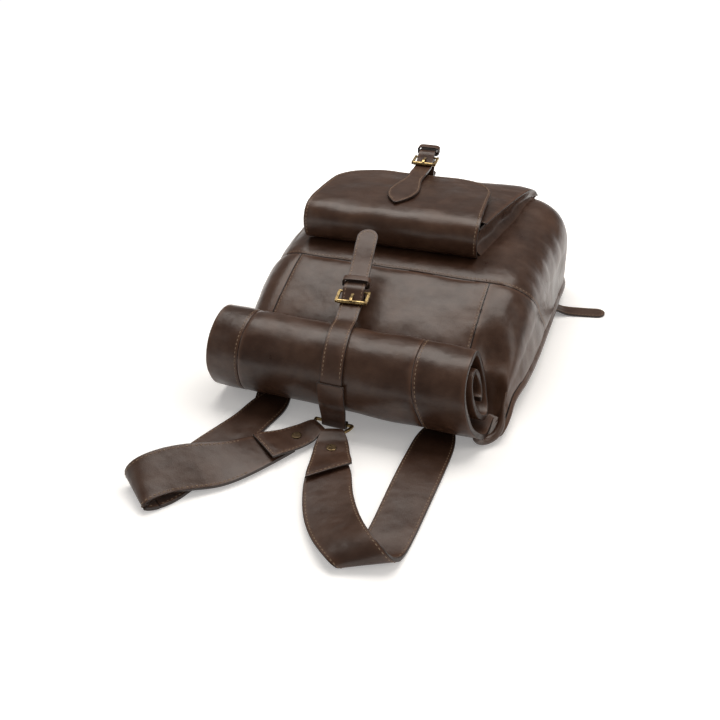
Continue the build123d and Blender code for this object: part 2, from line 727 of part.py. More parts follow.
# The shield is sewn on the flap, and its strap runs on through the pocket buckle
pocket_bends = through_buckle(pocket, POCKET_BUCKLE, BUCKLE_LENGTH)
SHIELD_LIFT = FLAP_THICK + 0.1
pocket_path = [
    (16, 150.2), (60, 149 + SHIELD_LIFT), (104, 146.6 + SHIELD_LIFT), *pocket_bends[1:],
    (pocket_bends[-1][0] + 22, pocket_bends[-1][1] - 7),
]
with BuildPart() as flap_shield:
    add(strap_solid(pocket, pocket_path, [90, 60, 6, 4, 12], 36))
    with BuildSketch(pocket.offset(crest_z - 20)):
        with BuildLine():
            half = POCKET_STRAP / 2
            Polyline((0, 17), (13, 32), (18, 52), (12, 84), (half, 92), (half, 230), (-half, 230), (-half, 92),
                     (-12, 84), (-18, 52), (-13, 32), (0, 17))
        make_face()
    extrude(amount=80, mode=Mode.INTERSECT)
    add(buckle_slot(pocket, POCKET_BUCKLE, BUCKLE_LENGTH), mode=Mode.SUBTRACT)
save(flap_shield.part, "flap_shield")
roller_buckle("pocket_buckle", tilted(pocket, *POCKET_BUCKLE), 30, BUCKLE_LENGTH)
chape("pocket", pocket, POCKET_BUCKLE, pocket_outer, 18, POCKET_SNAP)
keeper("pocket_keeper", pocket, POCKET_BUCKLE, 18, POCKET_STRAP, 2.6, 8.2)
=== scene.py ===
import json
import math

import bpy
import numpy as np
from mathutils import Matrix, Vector
from mathutils.bvhtree import BVHTree
from mathutils.kdtree import KDTree

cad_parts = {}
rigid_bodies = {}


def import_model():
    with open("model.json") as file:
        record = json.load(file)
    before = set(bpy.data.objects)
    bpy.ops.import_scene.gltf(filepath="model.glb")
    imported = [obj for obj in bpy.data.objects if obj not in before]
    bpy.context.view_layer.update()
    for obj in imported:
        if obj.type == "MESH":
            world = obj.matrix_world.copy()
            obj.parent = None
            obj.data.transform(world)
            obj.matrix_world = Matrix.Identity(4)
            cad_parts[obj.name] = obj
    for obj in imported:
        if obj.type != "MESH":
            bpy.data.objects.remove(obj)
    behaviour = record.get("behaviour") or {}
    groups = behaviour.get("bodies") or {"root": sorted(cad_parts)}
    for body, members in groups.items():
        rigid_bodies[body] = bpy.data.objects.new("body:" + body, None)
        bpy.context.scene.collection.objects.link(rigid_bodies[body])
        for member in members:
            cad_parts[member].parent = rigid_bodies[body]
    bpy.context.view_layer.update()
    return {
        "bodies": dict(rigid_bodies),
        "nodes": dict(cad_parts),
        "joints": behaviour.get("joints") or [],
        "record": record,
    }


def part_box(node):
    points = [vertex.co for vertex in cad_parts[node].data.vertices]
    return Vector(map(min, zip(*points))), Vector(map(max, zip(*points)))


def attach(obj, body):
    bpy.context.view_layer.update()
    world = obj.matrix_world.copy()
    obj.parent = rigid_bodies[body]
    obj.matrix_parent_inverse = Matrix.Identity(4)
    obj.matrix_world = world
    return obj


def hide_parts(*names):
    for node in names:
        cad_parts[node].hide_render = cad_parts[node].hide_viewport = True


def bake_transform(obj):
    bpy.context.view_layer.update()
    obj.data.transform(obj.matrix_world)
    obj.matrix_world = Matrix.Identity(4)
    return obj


# The roll-top leather backpack on its back: +X along the roll, +Y from the roll to the base, +Z
# up from the back to the front. Shapes are drawn in millimetres and made in metres.

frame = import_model()
nodes = frame["nodes"]

MM = 0.001
EYE_AT = (0.24675, -0.77106, 0.47031)
EYE_TURN = (58.0, 0.0, 20.5)

camera = bpy.data.objects.new("camera", bpy.data.cameras.new("camera"))
camera.location = EYE_AT
camera.rotation_euler = [math.radians(a) for a in EYE_TURN]
camera.data.lens = 40
camera.data.sensor_width = 36
bpy.context.scene.collection.objects.link(camera)
bpy.context.scene.camera = camera

# ---------------------------------------------------------------- finishes


class Value:
    """A socket whose sums and products add Math nodes."""

    def __init__(self, finish, socket):
        self.finish = finish
        self.socket = socket

    def _math(self, operation, first, second):
        return self.finish.node("ShaderNodeMath", {0: first, 1: second}, operation=operation)

    def __add__(self, other):
        return self._math("ADD", self, other)

    def __radd__(self, other):
        return self._math("ADD", other, self)

    def __sub__(self, other):
        return self._math("SUBTRACT", self, other)

    def __rsub__(self, other):
        return self._math("SUBTRACT", other, self)

    def __mul__(self, other):
        return self._math("MULTIPLY", self, other)

    def __rmul__(self, other):
        return self._math("MULTIPLY", other, self)

    def __abs__(self):
        return self._math("ABSOLUTE", self, 0.0)


class Finish:
    """A material, with one method that makes its nodes."""

    def __init__(self, name, **steady):
        self.material = bpy.data.materials.new(name)
        self.material.use_nodes = True
        self.tree = self.material.node_tree
        self.shader = self.tree.nodes["Principled BSDF"]
        for socket, value in steady.items():
            self.shader.inputs[socket.replace("_", " ")].default_value = value

    def feed(self, socket, value):
        if isinstance(value, Value):
            self.tree.links.new(value.socket, socket)
        elif isinstance(value, tuple) and len(value) == 3 and socket.type == "RGBA":
            socket.default_value = (*value, 1.0)
        else:
            socket.default_value = value

    def surface(self, **looks):
        """Feeds the shader's sockets, whose names have _ for a space."""
        for socket, look in looks.items():
            self.feed(self.shader.inputs[socket.replace("_", " ")], look)

    def node(self, kind, inputs, output=0, **settings):
        made = self.tree.nodes.new(kind)
        for key, value in settings.items():
            setattr(made, key, value)
        for key, value in inputs.items():
            self.feed(made.inputs[key], value)
        return Value(self, made.outputs[output])

    def place(self):
        return self.node("ShaderNodeTexCoord", {}, output="Object")

    def noise(self, where, scale, detail=3.0, distortion=0.0):
        knobs = {"Vector": where, "Scale": scale, "Detail": detail, "Distortion": distortion}
        return self.node("ShaderNodeTexNoise", knobs)

    def span(self, value, low, high, to_low=0.0, to_high=1.0):
        """The value's smooth step from low to high, as to_low to to_high."""
        knobs = {"Value": value, "From Min": low, "From Max": high, "To Min": to_low, "To Max": to_high}
        return self.node("ShaderNodeMapRange", knobs, interpolation_type="SMOOTHSTEP")

    def mix(self, share, first, second):
        return self.node("ShaderNodeMix", {0: share, 6: first, 7: second}, output=2, data_type="RGBA")

    def bump(self, height, distance, strength=1.0, under=None):
        knobs = {"Height": height, "Distance": distance, "Strength": strength}
        if under:
            knobs["Normal"] = under
        return self.node("ShaderNodeBump", knobs)


def leather(name, dark, light, rough, creases):
    """Smooth pull-up leather: mottled colour, pores, soft creases, and dark painted edges."""
    finish = Finish(name, Coat_Roughness=0.34, Specular_IOR_Level=0.34)
    where = finish.place()
    clouds = finish.noise(where, 17.0, 4.0, 0.6)
    blotches = finish.noise(where, 75.0, 3.0)
    rim = finish.node("ShaderNodeAttribute", {}, output="Fac", attribute_name="rim")
    tone = finish.span(clouds * 0.7 + blotches * 0.3, 0.25, 0.75)
    body = finish.mix(tone, dark, light)
    worn = finish.span(rim, 0.0009, 0.006, 0.45, 0.0)
    body = finish.mix(worn, body, tuple(min(1.0, 1.5 * c) for c in light))
    painted = finish.span(rim, 0.0002, 0.0011, 0.85, 0.0)
    body = finish.mix(painted, body, tuple(0.35 * c for c in dark))
    finish.surface(Base_Color=body)
    pores = finish.node("ShaderNodeTexVoronoi", {"Vector": where, "Scale": 1150.0}, feature="SMOOTH_F1")
    folds = finish.noise(where, 26.0, 5.0, 1.4)
    lines = finish.span(abs(folds - 0.5), 0.0, 0.035, 1.0, 0.0)
    patches = finish.span(finish.noise(where, 11.0, 2.0), 0.5, 0.68)
    wrinkles = lines * patches
    gloss = rough + (clouds - 0.5) * 0.22 + (blotches - 0.5) * 0.16 + wrinkles * 0.12
    finish.surface(Roughness=gloss)
    finish.surface(Coat_Weight=finish.span(blotches, 0.3, 0.7, 0.08, 0.22))
    soft = finish.noise(where, 120.0, 4.0)
    padded = finish.bump(finish.noise(where, 34.0, 2.0), 0.0035, 0.5)
    creased = finish.bump(wrinkles, 0.0005, -creases, padded)
    wavy = finish.bump(soft, 0.0005, 0.5, creased)
    grained = finish.bump(pores, 0.00012, 0.55, wavy)
    finish.surface(Normal=grained)
    return finish.material


def antique_brass(name, bright, dull):
    finish = Finish(name, Metallic=1.0)
    where = finish.place()
    patina = finish.span(finish.noise(where, 160.0, 4.0), 0.44, 0.66)
    colour = finish.mix(patina, bright, dull)
    finish.surface(Base_Color=colour)
    finish.surface(Roughness=0.27 + patina * 0.22)
    brushed = finish.noise(where, 900.0, 3.0)
    finish.surface(Normal=finish.bump(brushed, 0.00005, 0.5))
    return finish.material


def waxed_thread():
    finish = Finish("waxed_thread")
    where = finish.place()
    shade = finish.noise(where, 500.0, 2.0)
    finish.surface(Base_Color=finish.mix(shade, (0.12, 0.080, 0.048), (0.27, 0.185, 0.120)))
    finish.surface(Roughness=0.55 + shade * 0.2)
    return finish.material


def woven_cotton():
    finish = Finish("woven_cotton")
    where = finish.place()
    knobs = {"Vector": where, "Scale": 320.0}
    warp, weft = (finish.node("ShaderNodeTexWave", knobs, output="Fac", bands_direction=way) for way in "XY")
    weave = warp * 0.5 + weft * 0.5
    finish.surface(Base_Color=finish.mix(weave, (0.21, 0.17, 0.125), (0.36, 0.30, 0.23)))
    finish.surface(Roughness=0.85 + weave * 0.1)
    finish.surface(Normal=finish.bump(weave, 0.0002, 0.6))
    return finish.material


def speckled(name, dark, light, scale, rough):
    """A matt fibrous or cellular stuff: board or foam."""
    finish = Finish(name)
    where = finish.place()
    specks = finish.noise(where, scale, 5.0)
    finish.surface(Base_Color=finish.mix(specks, dark, light))
    finish.surface(Roughness=rough + specks * 0.1)
    finish.surface(Normal=finish.bump(specks, 0.0003, 0.5))
    return finish.material


body_leather = leather("body_leather", (0.028, 0.0118, 0.0065), (0.070, 0.0335, 0.0190), 0.34, 0.60)
strap_leather = leather("strap_leather", (0.031, 0.0138, 0.0082), (0.068, 0.0335, 0.0200), 0.38, 0.28)
brass = antique_brass("antique_brass", (0.50, 0.37, 0.17), (0.17, 0.115, 0.055))
bronze = antique_brass("dark_bronze", (0.19, 0.135, 0.075), (0.085, 0.06, 0.036))
thread = waxed_thread()
cotton = woven_cotton()
foam = speckled("closed_cell_foam", (0.62, 0.60, 0.55), (0.80, 0.78, 0.73), 900.0, 0.8)
board = speckled("fibre_board", (0.20, 0.16, 0.12), (0.40, 0.34, 0.27), 420.0, 0.75)
FINISHES = {"leather": body_leather, "strap_leather": strap_leather, "brass": brass, "lining": cotton,
            "foam": foam, "board": board}

# ---------------------------------------------------------------- working the leather


def ease(low, high, x):
    t = np.clip((x - low) / (high - low), 0.0, 1.0)
    return t * t * (3.0 - 2.0 * t)


def between(t, gap, first, first_slope, last, last_slope):
    """The smooth curve's value at share t of the gap between two stations."""
    return (
        (2 * t**3 - 3 * t**2 + 1) * first
        + (t**3 - 2 * t**2 + t) * gap * first_slope
        + (3 * t**2 - 2 * t**3) * last
        + (t**3 - t**2) * gap * last_slope
    )


def through(stations, values, x):
    """Values at x on a smooth curve through the stations' values."""
    stations = np.asarray(stations, float)
    values = np.asarray(values, float)
    slopes = np.gradient(values, stations, axis=0)
    i = np.clip(np.searchsorted(stations, x) - 1, 0, len(stations) - 2)
    gap = stations[i + 1] - stations[i]
    t = np.clip((x - stations[i]) / gap, 0.0, 1.0)
    if values.ndim > 1:
        t, gap = t[..., None], gap[..., None]
    return between(t, gap, values[i], slopes[i], values[i + 1], slopes[i + 1])


def eased(line, repeats):
    """An edge line whose kinks are relaxed."""
    line = np.array(line)
    for _ in range(repeats):
        line[1:-1] = (line[:-2] + 2 * line[1:-1] + line[2:]) / 4
    return line


def swell(x, y, z, size, seed):
    """A smooth random height between about -1 and 1, with bumps of that size."""
    draw = np.random.RandomState(seed)
    height = 0.0
    for _ in range(9):
        way = draw.normal(size=3)
        way *= draw.uniform(0.7, 1.5) * 2 * math.pi / (size * 2.0 * np.linalg.norm(way))
        height = height + np.sin(x * way[0] + y * way[1] + z * way[2] + draw.uniform(0, 6.28))
    return height / 3.0


def select_only(piece):
    bpy.ops.object.select_all(action="DESELECT")
    piece.select_set(True)
    bpy.context.view_layer.objects.active = piece


def sheet(name, columns, rows, place):
    """A grid whose points are laid in millimetres by place(u, v), with u and v from 0 to 1."""
    bpy.ops.object.select_all(action="DESELECT")
    bpy.ops.mesh.primitive_grid_add(x_subdivisions=columns, y_subdivisions=rows, size=1)
    piece = bpy.context.object
    piece.name = name
    piece.data.name = name
    flat = np.empty(len(piece.data.vertices) * 3)
    piece.data.vertices.foreach_get("co", flat)
    points = place(flat[0::3] + 0.5, flat[1::3] + 0.5)
    piece.data.vertices.foreach_set("co", (np.asarray(points) * MM).ravel())
    piece.data.update()
    return piece


def edit_whole(piece, operator, **settings):
    """Runs an edit-mode operator on all of the piece."""
    select_only(piece)
    bpy.ops.object.mode_set(mode="EDIT")
    bpy.ops.mesh.select_all(action="SELECT")
    operator(**settings)
    bpy.ops.object.mode_set(mode="OBJECT")


def cut(piece, point, normal):
    """Cuts the piece by a plane and keeps the side that the normal leaves."""
    edit_whole(piece, bpy.ops.mesh.bisect, plane_co=Vector(point) * MM, plane_no=normal, clear_outer=True)


def drop_faces(piece, unwanted):
    """Deletes the faces whose middle, in millimetres, is unwanted."""
    select_only(piece)
    bpy.ops.object.mode_set(mode="EDIT")
    bpy.ops.mesh.select_all(action="DESELECT")
    bpy.ops.object.mode_set(mode="OBJECT")
    for face in piece.data.polygons:
        face.select = bool(unwanted(*(face.center / MM)))
    bpy.ops.object.mode_set(mode="EDIT")
    bpy.ops.mesh.select_mode(type="FACE")
    bpy.ops.mesh.delete(type="FACE")
    bpy.ops.object.mode_set(mode="OBJECT")


def weld(piece, distance):
    edit_whole(piece, bpy.ops.mesh.remove_doubles, threshold=distance * MM)


def mark_rim(piece):
    """Gives each point its distance from the sheet's free edge, for painted and worn edges."""
    mesh = piece.data
    uses = np.zeros(len(mesh.edges), int)
    for face in mesh.polygons:
        for loop in face.loop_indices:
            uses[mesh.loops[loop].edge_index] += 1
    rim = {v for edge in mesh.edges if uses[edge.index] == 1 for v in edge.vertices}
    tree = KDTree(max(1, len(rim)))
    for v in rim:
        tree.insert(mesh.vertices[v].co, v)
    tree.balance()
    far = [tree.find(v.co)[2] if rim else 1.0 for v in mesh.vertices]
    mesh.attributes.new("rim", "FLOAT", "POINT").data.foreach_set("value", far)


def thicken(piece, thickness, edge=0.6):
    """Gives the sheet its thickness on its inner side, and rounds its cut edges."""
    mark_rim(piece)
    wall = piece.modifiers.new("wall", "SOLIDIFY")
    wall.thickness = thickness * MM
    wall.offset = -1
    rounding = piece.modifiers.new("rounding", "BEVEL")
    rounding.limit_method = "ANGLE"
    rounding.angle_limit = math.radians(48)
    rounding.width = edge * MM
    rounding.segments = 3
    select_only(piece)
    for modifier in (wall, rounding):
        bpy.ops.object.modifier_apply(modifier=modifier.name)
    bpy.ops.object.shade_smooth()


def dress(piece, slot, body=None, *stands_for, finish=None):
    """Gives the piece the finish for its slot, attaches it to its body, and hides the CAD nodes that it stands
    for.
    """
    piece.data.materials.clear()
    piece.data.materials.append(finish or FINISHES[slot])
    if body:
        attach(piece, body)
    if stands_for:
        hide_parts(*stands_for)


class Frame:
    """A level frame at a point, turned about the vertical, whose y axis may rise."""

    def __init__(self, x, y, z, turn=0.0, rise=0.0):
        a, b = math.radians(turn), math.radians(rise)
        self.origin = np.array([x, y, z], float)
        self.x = np.array([math.cos(a), math.sin(a), 0.0])
        self.y = np.array([-math.sin(a) * math.cos(b), math.cos(a) * math.cos(b), math.sin(b)])
        self.z = np.cross(self.x, self.y)
        self.turn = turn

    def at(self, a, b, c):
        return self.origin + a * self.x + b * self.y + c * self.z


class Strip:
    """A strip of leather between two edge lines through stations. s is the length along it."""

    def __init__(self, left, right, start_round=0.0, end_round=0.0, crown=0.0):
        self.left = np.array(left, float)
        self.right = np.array(right, float)
        middle = (self.left + self.right) / 2
        steps = np.linalg.norm(np.diff(middle, axis=0), axis=1)
        self.stations = np.concatenate([[0.0], np.cumsum(steps)])
        self.length = self.stations[-1]
        self.start_round = start_round
        self.end_round = end_round
        self.crown = crown

    def raw(self, s, t):
        """The point at length s and share t of the width, before any crown."""
        a = through(self.stations, self.left, s)
        b = through(self.stations, self.right, s)
        return a + (b - a) * t[..., None]

    def width(self, s):
        return np.linalg.norm(self.raw(s, np.ones_like(s)) - self.raw(s, np.zeros_like(s)), axis=-1)

    def normal(self, s, t):
        s0, s1 = np.clip(s - 0.8, 0, self.length), np.clip(s + 0.8, 0, self.length)
        run = self.raw(s1, t) - self.raw(s0, t)
        over = self.raw(s, np.ones_like(t)) - self.raw(s, np.zeros_like(t))
        n = np.cross(over, run)
        return n / np.maximum(np.linalg.norm(n, axis=-1, keepdims=True), 1e-9)

    def inset(self, s):
        """How far the rounded ends draw the edges in, at a length."""
        trim = np.zeros_like(s)
        for radius, away in ((self.start_round, s), (self.end_round, self.length - s)):
            if radius:
                near = np.clip(radius - away, 0.0, radius)
                trim = np.maximum(trim, radius - np.sqrt(np.maximum(radius**2 - near**2, 0.0)))
        return trim

    def at(self, s, t, lift=0.0):
        """The point on the upper face, within the rounded outline."""
        s, t = np.broadcast_arrays(np.asarray(s, float), np.asarray(t, float))
        width = self.width(s)
        trim = np.minimum(self.inset(s) / np.maximum(width, 1e-6), 0.4999)
        inner = trim + (1 - 2 * trim) * t
        height = lift + self.crown * (1 - (2 * inner - 1) ** 2)
        return self.raw(s, inner) + self.normal(s, inner) * np.asarray(height)[..., None]

    def spread(self, v):
        """Lengths for shares v, closer together at a rounded end."""
        a, b = self.start_round, self.end_round
        flat = self.length - a - b
        total = a * math.pi / 2 + flat + b * math.pi / 2
        p = v * total
        first, last = a * math.pi / 2, total - b * math.pi / 2
        s = a + (p - first)
        if a:
            s = np.where(p < first, a - a * np.cos(np.clip(p / a, 0, math.pi / 2)), s)
        if b:
            s = np.where(p > last, self.length - b + b * np.sin(np.clip((p - last) / b, 0, math.pi / 2)), s)
        return np.clip(s, 0.0, self.length)

    def place(self, lift=0.0, shape=None):
        def laid(u, v):
            s = self.spread(v)
            points = self.at(s, u, lift)
            if shape is not None:
                n = self.normal(s, u)
                points = points + n * shape(s, u, points)[..., None]
            return points
        return laid

    def piece(self, name, thickness, lift=0.0, columns=12, step=2.2, edge=0.6, shape=None):
        rows = max(6, int(self.length / step))
        made = sheet(name, columns, rows, self.place(lift, shape))
        weld(made, 0.02)
        thicken(made, thickness, edge)
        return made


def side_edges(frame, path, half):
    """The edge lines of a strap that follows a side path (y, z) in a frame."""
    halves = half if isinstance(half, (list, tuple)) else [half] * len(path)
    left = [frame.at(-h, y, z) for (y, z), h in zip(path, halves)]
    right = [frame.at(h, y, z) for (y, z), h in zip(path, halves)]
    return left, right


# ---------------------------------------------------------------- stitching

STITCH_PITCH = 4.1
STITCH_LENGTH = 2.6
STITCH_RADIUS = 0.46
# Each ring round a stitch: share of its length, size, and height above the leather
STITCH_RINGS = ((0.0, 0.55, -0.28), (0.22, 1.0, 0.06), (0.78, 1.0, 0.06), (1.0, 0.55, -0.28))
ROUND = [(math.cos(a), math.sin(a)) for a in np.arange(6) * math.pi / 3]


def stitches(name, rows):
    """One mesh of sewn stitches: each row is (points, normals) along a line."""
    points, faces = [], []
    for line, normals in rows:
        line, normals = np.asarray(line, float), np.asarray(normals, float)
        steps = np.linalg.norm(np.diff(line, axis=0), axis=1)
        run = np.concatenate([[0.0], np.cumsum(steps)])
        for s in np.arange(STITCH_PITCH / 2, run[-1] - STITCH_PITCH / 4, STITCH_PITCH):
            ends = [np.array([np.interp(s + d, run, line[:, k]) for k in range(3)])
                    for d in (-STITCH_LENGTH / 2, STITCH_LENGTH / 2)]
            up = np.array([np.interp(s, run, normals[:, k]) for k in range(3)])
            up /= np.linalg.norm(up)
            way = ends[1] - ends[0]
            if np.linalg.norm(way) < 0.5:
                continue
            way /= np.linalg.norm(way)
            side = np.cross(up, way)
            first = len(points)
            for share, size, sink in STITCH_RINGS:
                centre = ends[0] + (ends[1] - ends[0]) * share + up * sink
                for c, q in ROUND:
                    points.append(centre + (side * c + up * q * 0.8) * STITCH_RADIUS * size)
            for ring in range(3):
                for k in range(6):
                    a, b = first + ring * 6 + k, first + ring * 6 + (k + 1) % 6
                    faces.append((a, b, b + 6, a + 6))
            faces.append(tuple(first + k for k in reversed(range(6))))
            faces.append(tuple(first + 18 + k for k in range(6)))
    mesh = bpy.data.meshes.new(name)
    mesh.from_pydata([tuple(p * MM) for p in points], [], faces)
    piece = bpy.data.objects.new(name, mesh)
    bpy.context.scene.collection.objects.link(piece)
    edit_whole(piece, bpy.ops.mesh.normals_make_consistent, inside=False)
    bpy.ops.object.shade_smooth()
    dress(piece, "strap_leather", finish=thread)
    return piece


def sewn_line(strip, s0, s1, margin, side, lift=0.0, under=None):
    """A row near one edge of a strip, on its upper face or, with its thickness, under it."""
    s = np.linspace(s0, s1, max(8, int(abs(s1 - s0) / 1.5)))
    width = strip.width(s)
    room = width - 2 * np.minimum(strip.inset(s), width * 0.4999)
    share = np.clip(margin / np.maximum(room, 1e-6), 0.0, 0.5)
    t = share if side < 0 else 1 - share
    normals = strip.normal(s, t)
    if under is None:
        return strip.at(s, t, lift), normals
    return strip.at(s, t, lift) - normals * under, -normals


def sewn_border(strip, margin, start=0.0, lift=0.0, end=None):
    """A row along one edge, round the strip's rounded tip and back."""
    last = (strip.length if end is None else end) - margin
    s = np.linspace(start, last, max(12, int((last - start) / 1.2)))
    width = strip.width(s)
    radius = max(strip.end_round - margin, 0.0)
    near = np.clip(radius - (last - s), 0.0, radius)
    trim = margin + radius - np.sqrt(np.maximum(radius**2 - near**2, 0.0))
    share = np.clip(trim / width, 0.0, 0.5)
    outline = np.concatenate([np.stack([s, share], 1), np.stack([s, 1 - share], 1)[::-1]])
    a, b = outline[:, 0], outline[:, 1]
    height = lift + strip.crown * (1 - (2 * b - 1) ** 2)
    n = strip.normal(a, b)
    return strip.raw(a, b) + n * height[:, None], n


def drop_on(piece, starts, way):
    """Where rays from the starts meet the piece: points and normals in millimetres."""
    bpy.context.view_layer.update()
    tree = BVHTree.FromObject(piece, bpy.context.evaluated_depsgraph_get())
    found = [tree.ray_cast(Vector(p) * MM, Vector(w)) for p, w in zip(starts, way)]
    found = [f for f in found if f[0] is not None]
    return [np.array(f[0]) / MM for f in found], [np.array(f[1]) for f in found]


# ---------------------------------------------------------------- the body's shell

ROLL_Y, ROLL_Z, ROLL_RADIUS = -153.5, 46.5, 41.5
ROLL_LEFT, ROLL_RIGHT = -132, 142
LEFT_BAND, RIGHT_BAND = ROLL_LEFT + 35, ROLL_RIGHT - 50
CLOSURE_X, CLOSURE_TURN = -3.5, 8.0
LEAN = 6
NEAR_END, FAR_END, FAR_ROUND = -173.0, 201.0, 8.0
# Y, left, right, height of the front, corner radius, height of the side seam
HULL = np.array([
    (-173, -112, 147, 6.5, 1.6, 4.4),
    (-163, -126, 155, 13, 5, 6.5),
    (-147, -131, 159, 28, 12, 10),
    (-129, -133, 160.5, 45, 19, 15),
    (-111, -134, 160.5, 59, 25, 20),
    (-75, -139, 165, 78, 34, 23.5),
    (-28, -144, 168, 99, 42, 24),
    (40, -148, 169, 107, 46, 24),
    (120, -148, 169, 112, 46, 24),
    (172, -146, 168, 118, 44, 24),
    (201, -138, 160, 110, 42, 24),
], float)
YOKE_POINT, YOKE_NORMAL = np.array([0, 25.0, 24.0]), np.array([0, -0.8234, -0.5675])
FRONT_SEAMS = (-101, 112)
CLEAR = 400.0          # a height that limits nothing


def shown_y(v, near):
    """Y and the angle round the far edge for shares v of the body's length."""
    straight = FAR_END - FAR_ROUND - near
    p = v * (straight + FAR_ROUND * math.pi / 2)
    angle = np.clip((p - straight) / FAR_ROUND, 0, math.pi / 2)
    return np.where(p < straight, near + p, FAR_END - FAR_ROUND + FAR_ROUND * np.sin(angle)), angle


def section(y):
    """Left, right, height of the front, corner radius and height of the side seam at y."""
    return through(HULL[:, 0], HULL[:, 1:], y).T


def hull_section(u, y):
    """X, Z and the outward direction at share u round the front of the section at y."""
    left, right, top, corner, seam = section(y)
    rise = np.maximum(top - corner - seam, 0.3)
    arc = corner * math.pi / 2
    flat = right - left - 2 * LEAN - 2 * corner
    s = u * (2 * rise + 2 * arc + flat)
    first = np.clip((s - rise) / corner, 0, math.pi / 2)
    last = np.clip((s - rise - arc - flat) / corner, 0, math.pi / 2)
    low, high = np.clip(s / rise, 0, 1), np.clip((s - rise - 2 * arc - flat) / rise, 0, 1)
    x = left + LEAN * low + corner * (1 - np.cos(first)) + np.clip(s - rise - arc, 0, flat)
    x = x + corner * np.sin(last) + LEAN * high
    z = seam + rise * low + corner * np.sin(first) - corner * (1 - np.cos(last)) - rise * high
    nx = np.where(s < rise + arc, -np.cos(first), np.sin(last))
    nz = np.where(s < rise + arc, np.sin(first), np.cos(last))
    return x, z, nx, nz


def front_height(x, y):
    """The height of the body's front at a place on it."""
    x, y = np.broadcast_arrays(np.asarray(x, float), np.asarray(y, float))
    left, right, top, corner, _ = section(y)
    over = np.maximum(np.maximum(left + LEAN + corner - x, x - (right - LEAN - corner)), 0.0)
    return top - corner + np.sqrt(np.maximum(corner**2 - over**2, 0.0))


def roll_clearance(x, y):
    """The highest that leather may lie under and beside the roll."""
    beyond = np.maximum(np.maximum(x - ROLL_RIGHT, ROLL_LEFT - x), 0.0)
    reach = (ROLL_RADIUS + 2.0) * np.sqrt(np.maximum(1 - (beyond / 24.0) ** 2, 0.0))
    along = np.abs(y - ROLL_Y)
    round_it = np.where(along < reach, ROLL_Z - np.sqrt(np.maximum(reach**2 - along**2, 0.0)), CLEAR)
    trough = 4.0 + 3.2 * np.maximum(x - 151.0, 0.0) + CLEAR * ease(-136.0, -96.0, y)
    return np.where(x > ROLL_RIGHT - 20, np.minimum(round_it, trough), round_it)


def drawn_in(x, y):
    """Y with the open corner beside the roll's right end rounded off."""
    return y + 9.0 * ease(122.0, 152.0, x) * ease(-146.0, -172.0, y)


def hull(lift=0.0, near=NEAR_END):
    """Lays the front and sides, puffed between the seams, kept under the roll's clearance."""
    def laid(u, v):
        y, angle = shown_y(v, near)
        x, z, nx, nz = hull_section(u, y)
        turn_in = FAR_ROUND * (1 - np.cos(angle))
        yoke = (y - YOKE_POINT[1]) * YOKE_NORMAL[1] + (z - YOKE_POINT[2]) * YOKE_NORMAL[2]
        full = 1 - 0.95 * np.exp(-np.abs(yoke) / 7.0)
        for seam_x in FRONT_SEAMS:
            full = full * np.where(yoke > 0, 1 - 0.8 * np.exp(-np.abs(x - seam_x) / 6.0), 1.0)
        foot = np.clip(z - 22.0, 0, 400)
        full = full * (1 - 0.9 * np.exp(-foot / 6.0))
        puff = -0.9 + 2.6 * full
        wave = 1.3 * swell(x, y, z, 55, 3) + 0.32 * swell(x, y, z, 19, 8)
        quiet = ease(-30, 10, y) * ease(150, 110, np.abs(x)) * (z > 95)
        wave = wave * (1 - 0.8 * quiet) * np.clip(foot / 12.0, 0, 1)
        # slanting drag folds in the upper side panels, beside the roll
        slope = (y + 40) * 0.55 + (z - 60) * 0.5 + (np.abs(x) - 130) * 0.3
        drag = np.sin(slope / 9.0) * np.exp(-((y + 80) / 34) ** 2)
        drag = drag * ease(112, 140, np.abs(x)) * ease(26, 45, z)
        out = puff + wave + 0.6 * drag - turn_in + lift
        x, z = x + nx * out, z + nz * out
        hollow = 21.0 * np.exp(-(((x - 135.0) / 18.0) ** 2) - ((y + 103.0) / 19.0) ** 2)
        z = z - hollow * ease(24.0, 44.0, z)
        y = drawn_in(x, y)
        limit = roll_clearance(x, y) + lift
        gap = np.clip((limit - z) / 9.0, -8, 8)
        z = np.where(limit > CLEAR - 1, z, z - 9.0 * np.log1p(np.exp(-gap * 1.6)) / 1.6)
        z = np.maximum(z, 3.0)
        return np.stack([x, y, z], axis=-1)
    return laid


def under_roll(x, y, z):
    """Under the roll, but for a stretch that stays by its right end."""
    if x < ROLL_RIGHT - 20:
        return x > ROLL_LEFT + 2 and y < -112.5
    return x < ROLL_RIGHT - 2 and y < -158


def relax(piece, chosen, repeats):
    """Smooths the points whose place, in millimetres, is chosen."""
    select_only(piece)
    bpy.ops.object.mode_set(mode="EDIT")
    bpy.ops.mesh.select_mode(type="VERT")
    bpy.ops.mesh.select_all(action="DESELECT")
    bpy.ops.object.mode_set(mode="OBJECT")
    for vertex in piece.data.vertices:
        vertex.select = bool(chosen(*(vertex.co / MM)))
    bpy.ops.object.mode_set(mode="EDIT")
    bpy.ops.mesh.vertices_smooth(factor=0.5, repeat=repeats)
    bpy.ops.object.mode_set(mode="OBJECT")


def beside_roll(x, y, z):
    return (x > ROLL_RIGHT - 12 or x < ROLL_LEFT + 12) and -171 < y < -84 and z > 10


